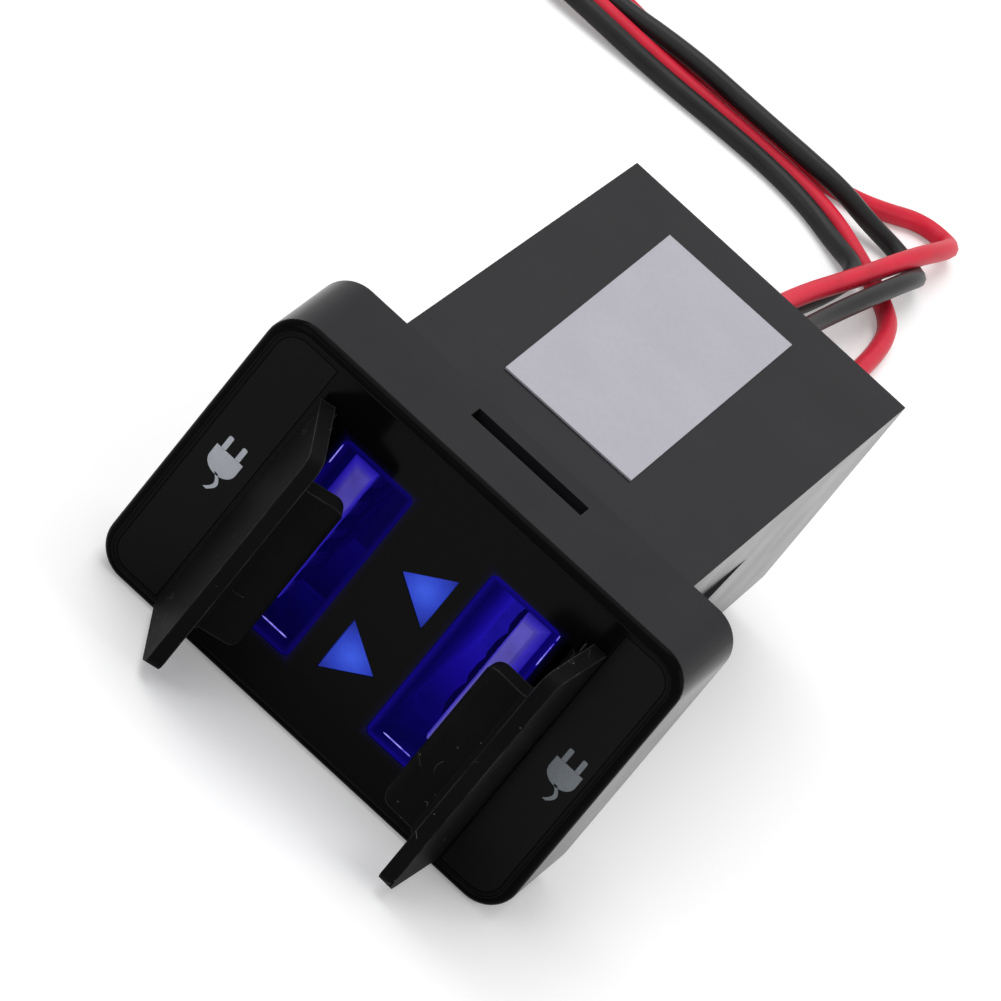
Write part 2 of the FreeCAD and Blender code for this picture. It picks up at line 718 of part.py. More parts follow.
black_lead_b_route = [
    (-lead_side, grommet_stand, lead_low), (-lead_side, 6.5, lead_low), (-0.7, 13.5, 4.9),
    (-0.1, 21.5, 2.0), (0.4, 29.5, table), (0.6, 36.5, table), (0.3, 42.0, table),
    (-2.4, 44.4, table), (-6.8, 45.6, table), (-13.0, 45.75, table), (-20.0, 45.3, table),
    (lane_start, lanes[0], coil_level), (coil_centre_x, lanes[0], coil_level)]
coils = [(outer_coil_radius - 3 * coil_pitch, 3.75), (outer_coil_radius - 2 * coil_pitch, 3.6),
         (outer_coil_radius - coil_pitch, 2.75), (outer_coil_radius, 2.6)]

pieces = {
    "bezel_frame": make_bezel(),
    "face_panel": make_face_panel(),
    "left_end_inlay": make_inlay_shape(-1, 0.0, inlay_thickness),
    "right_end_inlay": make_inlay_shape(1, 0.0, inlay_thickness),
    "left_cover": make_cover(-1, left_open_angle),
    "right_cover": make_cover(1, right_open_angle),
    "left_hinge_pin": make_hinge_pin(-1),
    "right_hinge_pin": make_hinge_pin(1),
    "left_port_liner": make_liner(-1),
    "right_port_liner": make_liner(1),
    "left_port_shell": make_shell(-1),
    "right_port_shell": make_shell(1),
    "left_port_tongue": make_tongue(-1),
    "right_port_tongue": make_tongue(1),
    "left_port_contacts": make_contacts(-1),
    "right_port_contacts": make_contacts(1),
    "upper_arrow_lens": make_light_pipe(upper_arrow_tip, -1),
    "lower_arrow_lens": make_light_pipe(lower_arrow_tip, 1),
    "upper_arrow_lamp": make_lamp(upper_arrow_tip, -1),
    "lower_arrow_lamp": make_lamp(lower_arrow_tip, 1),
    "housing_shell": make_housing(),
    "rear_cover": make_rear_cover(),
    "lead_grommet": make_grommet(),
    "top_label": make_label(),
    "port_board": make_port_board(),
    "power_board": make_power_board(),
    "board_pins": make_board_pins(),
    "power_choke": make_inductor(-power_board_width / 4, board_back + choke_place),
    "input_capacitor": make_capacitor(-capacitor_spacing / 2, board_back + capacitor_start),
    "output_capacitor": make_capacitor(capacitor_spacing / 2, board_back + capacitor_start),
    "converter_chip": make_chip(power_board_width / 4 - 0.3, board_back + choke_place),
}
leads = {
    "red_lead_a": make_lead("red_lead_a", red_lead_a_route),
    "black_lead_a": make_lead("black_lead_a", black_lead_a_route),
    "red_lead_b": make_lead("red_lead_b", red_lead_b_route),
    "black_lead_b": make_lead("black_lead_b", black_lead_b_route),
    "red_coil_a": make_coil(*coils[0]),
    "black_coil_a": make_coil(*coils[1]),
    "red_coil_b": make_coil(*coils[2]),
    "black_coil_b": make_coil(*coils[3]),
    "lead_tips": make_tips(coils),
    "coil_tie": make_tie([turns for radius, turns in coils]),
}

# Stand the socket on Z = 0 with the origin under the middle of its own box
whole = Part.makeCompound(list(pieces.values())).optimalBoundingBox(False)
shift = V(-(whole.XMin + whole.XMax) / 2, -(whole.YMin + whole.YMax) / 2, -whole.ZMin)
print("moved by", [round(v, 4) for v in shift])

os.makedirs("parts", exist_ok=True)
for name, shape in {**pieces, **leads}.items():
    shape.translate(shift)
    if not shape.isValid():
        print("not valid:", name)
    shape.exportStep("parts/" + name + ".step")
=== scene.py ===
"""Looks of a dual USB charging socket for a car dash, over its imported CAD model.

Shapes go to Blender in metres in the row frame. Sizes in the classes are in millimetres,
measured as in the construction: from the middle of the socket's face.
"""
import json
import logging
import math
from dataclasses import dataclass, field
from enum import Enum

import bmesh
import bpy
import numpy as np
from mathutils import Matrix, Vector


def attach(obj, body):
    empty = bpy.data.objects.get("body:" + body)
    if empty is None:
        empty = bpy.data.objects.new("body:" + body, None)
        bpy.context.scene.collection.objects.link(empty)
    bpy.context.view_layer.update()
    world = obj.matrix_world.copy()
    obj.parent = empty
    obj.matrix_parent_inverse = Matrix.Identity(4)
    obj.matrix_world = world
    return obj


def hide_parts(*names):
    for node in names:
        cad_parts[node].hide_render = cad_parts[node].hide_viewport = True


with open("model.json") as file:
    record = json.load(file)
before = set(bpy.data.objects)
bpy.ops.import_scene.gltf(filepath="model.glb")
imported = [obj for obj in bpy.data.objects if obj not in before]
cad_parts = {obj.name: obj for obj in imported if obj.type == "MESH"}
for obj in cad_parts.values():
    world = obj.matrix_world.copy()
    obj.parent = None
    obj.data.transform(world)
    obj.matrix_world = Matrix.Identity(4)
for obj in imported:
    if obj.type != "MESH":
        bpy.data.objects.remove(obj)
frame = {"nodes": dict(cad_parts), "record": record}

LOG = logging.getLogger("usb_socket")

Tree = bpy.types.NodeTree
Node = bpy.types.Node
Socket = bpy.types.NodeSocket
Piece = bpy.types.Object
Point = tuple[float, float, float]

MM = 0.001
# The construction's middle of the face, in the row frame (mm).
FACE_MIDDLE = np.array([0.0, -21.2648, 11.0])
# The leads' routes start at the housing's back, at the height of the table.
HOUSING_BACK = 27.3352
# A port's window: its offset from the middle, half width and half height (mm).
PORT_WINDOW = (5.99924, 2.8, 7.1)
# Every new piece rides on the socket: the covers are CAD nodes.
SOCKET_BODY = "socket"
NODE_SLOTS = {part["node"]: part["material_slot"] for part in frame["record"]["subparts"]}


class Side(Enum):
    """Which of the two ports, with its sign along the face."""

    LEFT = -1
    RIGHT = 1

    @property
    def word(self) -> str:
        """The side's name as the nodes spell it."""
        return self.name.lower()


def place(points: np.ndarray) -> np.ndarray:
    """Turn millimetres from the face's middle into metres in the row frame.

    Args:
        points: Array of shape (..., 3), in mm.

    Returns:
        The same points in metres.
    """
    return (np.asarray(points, dtype=float) + FACE_MIDDLE) * MM


def linear(colour: str) -> tuple[float, float, float, float]:
    """Turn an sRGB hex colour into linear RGBA.

    Args:
        colour: Six hex digits, such as "#3a3a3c".

    Returns:
        Four floats, alpha 1.
    """
    parts = [int(colour.lstrip("#")[i : i + 2], 16) / 255 for i in (0, 2, 4)]
    curve = [c / 12.92 if c <= 0.04045 else ((c + 0.055) / 1.055) ** 2.4 for c in parts]
    return (*curve, 1.0)


def connect(tree: Tree, node: Node, inputs: dict) -> None:
    """Set a node's sockets to values, or link them.

    Args:
        tree: The node tree.
        node: The node, such as a material's shader.
        inputs: Socket name or number to a value, to an output socket to link from, or to a
            node whose first output is linked.
    """
    for key, value in inputs.items():
        if isinstance(value, Node):
            value = value.outputs[0]
        if isinstance(value, Socket):
            tree.links.new(value, node.inputs[key])
        else:
            node.inputs[key].default_value = value


def add(tree: Tree, kind: str, inputs: dict | None = None,
        stops: list[tuple[float, str]] | None = None, **settings) -> Node:
    """Add one shader node with its settings, values and links.

    Args:
        tree: The node tree.
        kind: The node's type, without the ShaderNode in front.
        inputs: What its sockets take, as for connect.
        stops: Position and sRGB hex colour of each stop, for a colour ramp.
        settings: Properties of the node itself.

    Returns:
        The new node.
    """
    node = tree.nodes.new("ShaderNode" + kind)
    for name, value in settings.items():
        setattr(node, name, value)
    connect(tree, node, inputs or {})
    if stops:
        elements = node.color_ramp.elements
        while len(elements) < len(stops):
            elements.new(0.5)
        for element, (position, colour) in zip(elements, stops):
            element.position = position
            element.color = linear(colour)
    return node


# ------------------------------------------------------------------ finishes


def window_distance(tree: Tree, point: Socket) -> Socket:
    """Distance from the edge of the nearer port window, positive outside it.

    The larger of (| |x| - offset | - half width) and (|height| - half height), in metres.

    Args:
        tree: The material's node tree.
        point: The point on the piece, in metres.

    Returns:
        The distance's output socket.
    """
    offset, half_width, half_height = PORT_WINDOW
    axes = add(tree, "SeparateXYZ", {"Vector": point})
    beside = add(tree, "Math", {0: axes.outputs["X"]}, operation="ABSOLUTE")
    across = add(tree, "Math", {0: beside, 1: offset * MM}, operation="SUBTRACT")
    across = add(tree, "Math", {0: across}, operation="ABSOLUTE")
    across = add(tree, "Math", {0: across, 1: half_width * MM}, operation="SUBTRACT")
    up = add(tree, "Math", {0: axes.outputs["Z"], 1: FACE_MIDDLE[2] * MM}, operation="SUBTRACT")
    up = add(tree, "Math", {0: up}, operation="ABSOLUTE")
    up = add(tree, "Math", {0: up, 1: half_height * MM}, operation="SUBTRACT")
    return add(tree, "Math", {0: across, 1: up}, operation="MAXIMUM").outputs["Value"]


def depth_colour(tree: Tree, point: Socket, stops: tuple[tuple[float, str], ...]) -> Socket:
    """A colour that changes with the depth behind the face.

    Args:
        tree: The material's node tree.
        point: The point on the piece, in metres.
        stops: Depth in mm behind the face's middle, and the colour there.

    Returns:
        The colour's output socket.
    """
    axes = add(tree, "SeparateXYZ", {"Vector": point})
    near, far = stops[0][0], stops[-1][0]
    depth = add(tree, "MapRange", {
        "Value": axes.outputs["Y"],
        "From Min": (near + FACE_MIDDLE[1]) * MM,
        "From Max": (far + FACE_MIDDLE[1]) * MM,
    })
    shares = [((d - near) / (far - near), c) for d, c in stops]
    return add(tree, "ValToRGB", {"Fac": depth}, shares).outputs["Color"]


@dataclass(frozen=True)
class Finish:
    """A finish, named for the real material."""

    name: str

    def make(self) -> bpy.types.Material:
        """Build the node material.

        Returns:
            The finished material.
        """
        material = bpy.data.materials.new(self.name)
        material.use_nodes = True
        tree = material.node_tree
        self.dress(tree, tree.nodes["Principled BSDF"], add(tree, "TexCoord").outputs["Object"])
        return material

    def dress(self, tree: Tree, shader: Node, point: Socket) -> None:
        """Add this finish's nodes.

        Args:
            tree: The material's node tree.
            shader: Its Principled shader.
            point: The point on the piece, in metres.
        """
        raise NotImplementedError


@dataclass(frozen=True)
class MouldedPlastic(Finish):
    """Injection-moulded plastic with a spark-eroded grain.

    The grain breaks the highlights into a soft sheen, and the colour clouds a little where the
    melt flowed. A handled piece also has dust and fluff on it, and a painted highlight makes its
    edges paler.
    """

    colour: str
    light: str
    roughness: float = 0.5
    grain: float = 0.16  # mm between grains, coarser than the real 0.05 so that it shows
    depth: float = 0.006  # mm
    specular: float = 0.2
    dust: str = ""  # colour of settled dust and fluff, none if empty
    painted_edge_highlight: str = ""  # colour of the painted edge highlight, none if empty
    cloud: float = 6.0  # mm between clouds
    speck_cell: float = 0.75  # mm, a cell that may hold one speck
    speck_free: float = 0.72  # share of the cells without one
    speck_reach: float = 0.075  # a speck's radius, as a share of a cell
    hair_wave: float = 2.6  # mm, over which a hair bends
    hair_width: float = 0.003  # half a hair's width, as a share of the wave's height
    hair_patch: float = 1.4  # mm, a patch that may hold a piece of hair
    hair_free: float = 0.9  # share of the patches without one
    dust_cover: float = 0.16  # how far a speck or hair hides the plastic
    edge_width: float = 0.16  # mm
    highlight_patch: float = 1.2  # mm, over which the painted highlight comes and goes

    def dress(self, tree: Tree, shader: Node, point: Socket) -> None:
        """Grain as bump, and flow clouds in colour and roughness.

        Args:
            tree: The material's node tree.
            shader: Its Principled shader.
            point: The point on the piece, in metres.
        """
        grains = add(tree, "TexNoise", {
            "Vector": point, "Scale": 0.5 / (self.grain * MM), "Detail": 3.0, "Roughness": 0.6,
        })
        clouds = add(tree, "TexNoise", {
            "Vector": point, "Scale": 1 / (self.cloud * MM), "Detail": 4.0, "Roughness": 0.55,
        })
        ramp = add(tree, "ValToRGB", {"Fac": clouds}, [(0.35, self.colour), (0.7, self.light)])
        colour = ramp.outputs["Color"]
        if self.dust:
            colour = self.dusted(tree, point, colour)
        # Painted highlight: paler along the edges, where a rounded edge would catch the light.
        if self.painted_edge_highlight:
            colour = self.paint_edge_highlight(tree, point, colour)
        rough = add(tree, "MapRange", {
            "Value": clouds, "From Min": 0.3, "From Max": 0.75,
            "To Min": self.roughness * 0.88, "To Max": self.roughness * 1.16,
        })
        bump = add(tree, "Bump", {"Strength": 0.5, "Distance": self.depth * MM, "Height": grains})
        connect(tree, shader, {
            "Base Color": colour, "Roughness": rough, "Normal": bump,
            "Specular IOR Level": self.specular,
        })

    def dusted(self, tree: Tree, point: Socket, colour: Socket) -> Socket:
        """Lay specks and short hairs over the colour.

        A speck is the middle of a cell, kept in a few of the cells. A hair is where a smooth
        noise crosses its middle height, kept in a few patches.

        Args:
            tree: The material's node tree.
            point: The point on the piece, in metres.
            colour: The clean plastic's colour.

        Returns:
            The dusty colour's output socket.
        """
        cells = add(tree, "TexVoronoi", {"Vector": point, "Scale": 1 / (self.speck_cell * MM)})
        cell_draw = add(tree, "SeparateColor", {0: cells.outputs["Color"]})
        kept = add(tree, "Math", {0: cell_draw, 1: self.speck_free}, operation="GREATER_THAN")
        reach = {0: cells.outputs["Distance"], 1: self.speck_reach}
        near = add(tree, "Math", reach, operation="LESS_THAN")
        speck = add(tree, "Math", {0: kept, 1: near}, operation="MULTIPLY")
        wave = add(tree, "TexNoise", {
            "Vector": point, "Scale": 1 / (self.hair_wave * MM), "Detail": 1.0, "Distortion": 0.4,
        })
        line = add(tree, "Math", {0: wave, 1: 0.5, 2: self.hair_width}, operation="COMPARE")
        patches = add(tree, "TexVoronoi", {"Vector": point, "Scale": 1 / (self.hair_patch * MM)})
        patch_draw = add(tree, "SeparateColor", {0: patches.outputs["Color"]})
        gate = add(tree, "Math", {0: patch_draw, 1: self.hair_free}, operation="GREATER_THAN")
        hair = add(tree, "Math", {0: line, 1: gate}, operation="MULTIPLY")
        both = add(tree, "Math", {0: speck, 1: hair}, operation="MAXIMUM")
        cover = add(tree, "Math", {0: both, 1: self.dust_cover}, operation="MULTIPLY")
        mix = {"Factor": cover, "A": colour, "B": linear(self.dust)}
        return add(tree, "Mix", mix, data_type="RGBA").outputs["Result"]

    def paint_edge_highlight(self, tree: Tree, point: Socket, colour: Socket) -> Socket:
        """Paint a highlight: the colour turns paler where the rounded normal leaves the flat one.

        Args:
            tree: The material's node tree.
            point: The point on the piece, in metres.
            colour: The colour away from the edges.

        Returns:
            The colour with its painted edge highlight, as an output socket.
        """
        rounded = add(tree, "Bevel", {"Radius": self.edge_width * MM}, samples=6)
        flat = add(tree, "NewGeometry").outputs["Normal"]
        alike = add(tree, "VectorMath", {0: rounded, 1: flat}, operation="DOT_PRODUCT").outputs["Value"]
        edge = add(tree, "MapRange", {"Value": alike, "From Min": 0.98, "From Max": 0.8})
        highlight_noise = add(tree, "TexNoise", {"Vector": point, "Scale": 1 / (self.highlight_patch * MM), "Detail": 3.0})
        uneven = add(tree, "MapRange", {"Value": highlight_noise, "From Min": 0.35, "From Max": 0.65, "To Min": 0.25})
        share = add(tree, "Math", {0: edge, 1: uneven}, operation="MULTIPLY")
        mix = {"Factor": share, "A": colour, "B": linear(self.painted_edge_highlight)}
        return add(tree, "Mix", mix, data_type="RGBA").outputs["Result"]


@dataclass(frozen=True)
class PaintedGlint(Finish):
    """A painted glint: a slim glowing strip on the liner's edge that stands for a highlight, bluish white.
    """

    colour: str = "#a098f8"
    dim: str = "#4c40c8"
    base: str = "#3a34a0"
    patch: float = 0.6  # mm, over which the glow varies

    def dress(self, tree: Tree, shader: Node, point: Socket) -> None:
        """A steady painted glow, a little uneven along its length.

        Args:
            tree: The material's node tree.
            shader: Its Principled shader.
            point: The point on the piece, in metres.
        """
        uneven = add(tree, "TexNoise", {"Vector": point, "Scale": 1 / (self.patch * MM), "Detail": 2.0})
        glow = add(tree, "ValToRGB", {"Fac": uneven}, [(0.35, self.dim), (0.6, self.colour)])
        connect(tree, shader, {
            "Emission Color": glow, "Emission Strength": 1.0,
            "Base Color": linear(self.base), "Roughness": 0.3,
        })


@dataclass(frozen=True)
class GlossPlastic(Finish):
    """Piano-black ABS, polished in the mould: near-black, with a clear reflection, dust and fine smears.

    Round the two windows it passes on a little of the ports' blue light.
    """

    colour: str = "#070708"
    roughness: float = 0.14
    specular: float = 0.07
    leak: float = 0.0  # strength of the light round the windows
    leak_reach: float = 0.45  # mm
    smear: float = 9.0  # mm between smears
    dust: str = "#242322"
    dust_cell: float = 1.3  # mm between specks
    peel: float = 2.5  # mm between the waves of the surface
    peel_depth: float = 0.01  # mm

    def dress(self, tree: Tree, shader: Node, point: Socket) -> None:
        """Smears in the roughness, dust in the colour, a slight peel, and the leaking light.

        Args:
            tree: The material's node tree.
            shader: Its Principled shader.
            point: The point on the piece, in metres.
        """
        smear = add(tree, "TexNoise", {
            "Vector": point, "Scale": 1 / (self.smear * MM), "Detail": 6.0, "Roughness": 0.6,
        })
        rough = add(tree, "MapRange", {
            "Value": smear, "From Min": 0.3, "From Max": 0.75,
            "To Min": self.roughness * 0.7, "To Max": self.roughness * 1.7,
        })
        dust = add(tree, "TexVoronoi", {"Vector": point, "Scale": 1 / (self.dust_cell * MM)})
        stops = [(0.0, self.dust), (0.03, self.colour)]
        colour = add(tree, "ValToRGB", {"Fac": dust.outputs["Distance"]}, stops)
        peel = add(tree, "TexNoise", {"Vector": point, "Scale": 1 / (self.peel * MM), "Detail": 2.0})
        bump = add(tree, "Bump", {"Strength": 0.15, "Distance": self.peel_depth * MM, "Height": peel})
        connect(tree, shader, {
            "Base Color": colour, "Roughness": rough, "Normal": bump,
            "Specular IOR Level": self.specular,
        })
        if self.leak:
            away = window_distance(tree, point)
            fade = add(tree, "MapRange", {"Value": away, "From Min": 0.0, "From Max": self.leak_reach * MM})
            stops = [(0.0, "#06033a"), (0.3, "#02011a"), (1.0, "#000000")]
            glow = add(tree, "ValToRGB", {"Fac": fade}, stops)
            connect(tree, shader, {"Emission Color": glow, "Emission Strength": self.leak})


@dataclass(frozen=True)
class Metal(Finish):
    """Rolled or drawn metal, finely brushed along the depth, lit by the ports where it has a glow."""

    colour: str
    shade: str
    roughness: float = 0.28
    glow: tuple[tuple[float, str], ...] = ()  # mm of depth behind the face, colour
    strength: float = 1.0
    brush: float = 0.12  # mm between brush lines
    tint: float = 3.0  # mm between patches of the tarnish

    def dress(self, tree: Tree, shader: Node, point: Socket) -> None:
        """Brushing in the roughness, mottling in the colour, and the glow by depth.

        Args:
            tree: The material's node tree.
            shader: Its Principled shader.
            point: The point on the piece, in metres.
        """
        stretch = add(tree, "Mapping", {"Vector": point, "Scale": (1.0, 0.08, 1.0)})
        brush = add(tree, "TexNoise", {"Vector": stretch, "Scale": 1 / (self.brush * MM), "Detail": 3.0})
        rough = add(tree, "MapRange", {
            "Value": brush, "To Min": self.roughness * 0.7, "To Max": self.roughness * 1.4,
        })
        tint = add(tree, "TexNoise", {"Vector": point, "Scale": 1 / (self.tint * MM), "Detail": 3.0})
        colour = add(tree, "ValToRGB", {"Fac": tint}, [(0.35, self.shade), (0.65, self.colour)])
        connect(tree, shader, {"Metallic": 1.0, "Base Color": colour, "Roughness": rough})
        if self.glow:
            glow = depth_colour(tree, point, self.glow)
            connect(tree, shader, {"Emission Color": glow, "Emission Strength": self.strength})


@dataclass(frozen=True)
class LitPlastic(Finish):
    """Clear or white plastic in the ports' blue light, which comes from lamps deep inside."""

    colour: str
    glow: tuple[tuple[float, str], ...]  # mm of depth behind the face, colour
    strength: float = 1.0
    roughness: float = 0.25
    specular: float = 0.15
    edge: str = ""  # colour of the lit line round the window, none if empty
    edge_depth: float = -0.42  # mm behind the face, where the lit line ends
    edge_from: float = -0.42  # mm from the window's edge, where the line starts, inside it
    edge_to: float = -0.02  # mm from the window's edge, where it is brightest
    smear: float = 1.6  # mm between smears

    def dress(self, tree: Tree, shader: Node, point: Socket) -> None:
        """Glow by depth, mottled a little, with the lit line round the window.

        Args:
            tree: The material's node tree.
            shader: Its Principled shader.
            point: The point on the piece, in metres.
        """
        smear = add(tree, "TexNoise", {"Vector": point, "Scale": 1 / (self.smear * MM), "Detail": 4.0})
        rough = add(tree, "MapRange", {
            "Value": smear, "To Min": self.roughness * 0.6, "To Max": self.roughness * 1.4,
        })
        mottle = add(tree, "MapRange", {
            "Value": smear, "From Min": 0.3, "From Max": 0.7, "To Min": 0.75, "To Max": 1.2,
        })
        glow = depth_colour(tree, point, self.glow)
        glow = add(tree, "VectorMath", {0: glow, "Scale": mottle}, operation="SCALE").outputs["Vector"]
        if self.edge:
            rim = add(tree, "MapRange", {
                "Value": window_distance(tree, point),
                "From Min": self.edge_from * MM, "From Max": self.edge_to * MM,
            })
            depth = add(tree, "SeparateXYZ", {"Vector": point}).outputs["Y"]
            limit = (self.edge_depth + FACE_MIDDLE[1]) * MM
            front = add(tree, "Math", {0: depth, 1: limit}, operation="LESS_THAN")
            both = add(tree, "Math", {0: rim, 1: front}, operation="MULTIPLY")
            mix = {"Factor": both, "A": glow, "B": linear(self.edge)}
            glow = add(tree, "Mix", mix, data_type="RGBA").outputs["Result"]
        connect(tree, shader, {
            "Base Color": linear(self.colour), "Roughness": rough, "Specular IOR Level": self.specular,
            "Emission Color": glow, "Emission Strength": self.strength,
        })


@dataclass(frozen=True)
class ArrowLens(Finish):
    """Frosted blue polycarbonate over a lamp: brightest over the lamp, falling off to the corners."""

    colour: str = "#10207a"
    middle: str = "#3653c8"
    between: str = "#2639a8"
    corner: str = "#172374"
    centres: tuple[tuple[float, float], ...] = ((0.68, 2.9), (-0.18, -3.9))  # mm, x and height
    near: float = 0.2  # mm from the lamp's middle, still at full light
    reach: float = 2.3  # mm
    frost: float = 0.5  # mm between grains of the frosting
    frost_share: float = 0.16

    def dress(self, tree: Tree, shader: Node, point: Socket) -> None:
        """The glow falls off with the distance from the nearer lamp.

        Args:
            tree: The material's node tree.
            shader: Its Principled shader.
            point: The point on the piece, in metres.
        """
        flat = add(tree, "VectorMath", {0: point, 1: (1.0, 0.0, 1.0)}, operation="MULTIPLY")
        away = []
        for x, height in self.centres:
            lamp = (x * MM, 0.0, (height + FACE_MIDDLE[2]) * MM)
            here = add(tree, "VectorMath", {0: flat, 1: lamp}, operation="DISTANCE")
            away.append(here.outputs["Value"])
        nearer = add(tree, "Math", {0: away[0], 1: away[1]}, operation="MINIMUM")
        fade = add(tree, "MapRange", {
            "Value": nearer, "From Min": self.near * MM, "From Max": self.reach * MM,
        })
        frost = add(tree, "TexNoise", {"Vector": point, "Scale": 1 / (self.frost * MM), "Detail": 3.0})
        soft = add(tree, "Math", {0: frost, 1: self.frost_share, 2: fade}, operation="MULTIPLY_ADD")
        stops = [(0.08, self.middle), (0.55, self.between), (1.0, self.corner)]
        glow = add(tree, "ValToRGB", {"Fac": soft}, stops)
        connect(tree, shader, {
            "Base Color": linear(self.colour), "Roughness": 0.3, "Specular IOR Level": 0.1,
            "Emission Color": glow, "Emission Strength": 1.0,
        })


@dataclass(frozen=True)
class Jacket(Finish):
    """Flexible PVC lead jacket: extruded, so smooth, with faint clouds and a soft gloss."""

    colour: str
    shade: str
    roughness: float = 0.38
    specular: float = 0.3
    cloud: float = 3.0  # mm
    skin: float = 0.3  # mm between ripples of the skin
    skin_depth: float = 0.008  # mm

    def dress(self, tree: Tree, shader: Node, point: Socket) -> None:
        """Clouds in the colour and a faint skin.

        Args:
            tree: The material's node tree.
            shader: Its Principled shader.
            point: The point on the piece, in metres.
        """
        clouds = add(tree, "TexNoise", {"Vector": point, "Scale": 1 / (self.cloud * MM), "Detail": 4.0})
        colour = add(tree, "ValToRGB", {"Fac": clouds}, [(0.3, self.shade), (0.65, self.colour)])
        rough = add(tree, "MapRange", {
            "Value": clouds, "To Min": self.roughness * 0.8, "To Max": self.roughness * 1.3,
        })
        skin = add(tree, "TexNoise", {"Vector": point, "Scale": 1 / (self.skin * MM), "Detail": 2.0})
        bump = add(tree, "Bump", {"Strength": 0.3, "Distance": self.skin_depth * MM, "Height": skin})
        connect(tree, shader, {
            "Base Color": colour, "Roughness": rough, "Normal": bump,
            "Specular IOR Level": self.specular,
        })


@dataclass(frozen=True)
class Paper(Finish):
    """Matt silver-grey label stock with a faint fibre and handling marks."""

    colour: str = "#b3b1b9"
    shade: str = "#adabb3"
    fibre: float = 0.35  # mm
    fibre_depth: float = 0.01  # mm
    mark: float = 5.0  # mm between handling marks

    def dress(self, tree: Tree, shader: Node, point: Socket) -> None:
        """Fibre in colour and bump.

        Args:
            tree: The material's node tree.
            shader: Its Principled shader.
            point: The point on the piece, in metres.
        """
        fibre = add(tree, "TexNoise", {
            "Vector": point, "Scale": 1 / (self.fibre * MM), "Detail": 5.0, "Roughness": 0.7,
        })
        marks = add(tree, "TexNoise", {"Vector": point, "Scale": 1 / (self.mark * MM), "Detail": 3.0})
        both = add(tree, "Math", {0: fibre, 1: marks}, operation="MULTIPLY")
        colour = add(tree, "ValToRGB", {"Fac": both}, [(0.12, self.shade), (0.36, self.colour)])
        bump = add(tree, "Bump", {"Strength": 0.12, "Distance": self.fibre_depth * MM, "Height": fibre})
        connect(tree, shader, {
            "Base Color": colour, "Roughness": 0.6, "Normal": bump, "Specular IOR Level": 0.2,
        })


# The blue light by depth behind the face, in mm: dim at the mouth, bright deep inside.
WALL_GLOW = ((-0.6, "#08044e"), (1.5, "#05033c"), (5.0, "#080450"), (7.0, "#0b055c"))
SHELL_GLOW = ((7.0, "#080450"), (11.0, "#0f066c"), (18.0, "#1a1090"))
NOSE_GLOW = ((0.6, "#443c92"), (1.0, "#2e22a0"), (1.5, "#140a86"))
TONGUE_GLOW = (*NOSE_GLOW, (2.2, "#08034e"), (8.0, "#0a055a"), (18.0, "#1a1090"))
LEFT_TONGUE_GLOW = (*NOSE_GLOW, (2.2, "#06023e"), (18.0, "#05022e"))
CONTACT_GLOW = ((0.0, "#04022c"), (14.0, "#070340"))
LEFT_CONTACT_GLOW = ((0.0, "#04023a"), (14.0, "#06033c"))

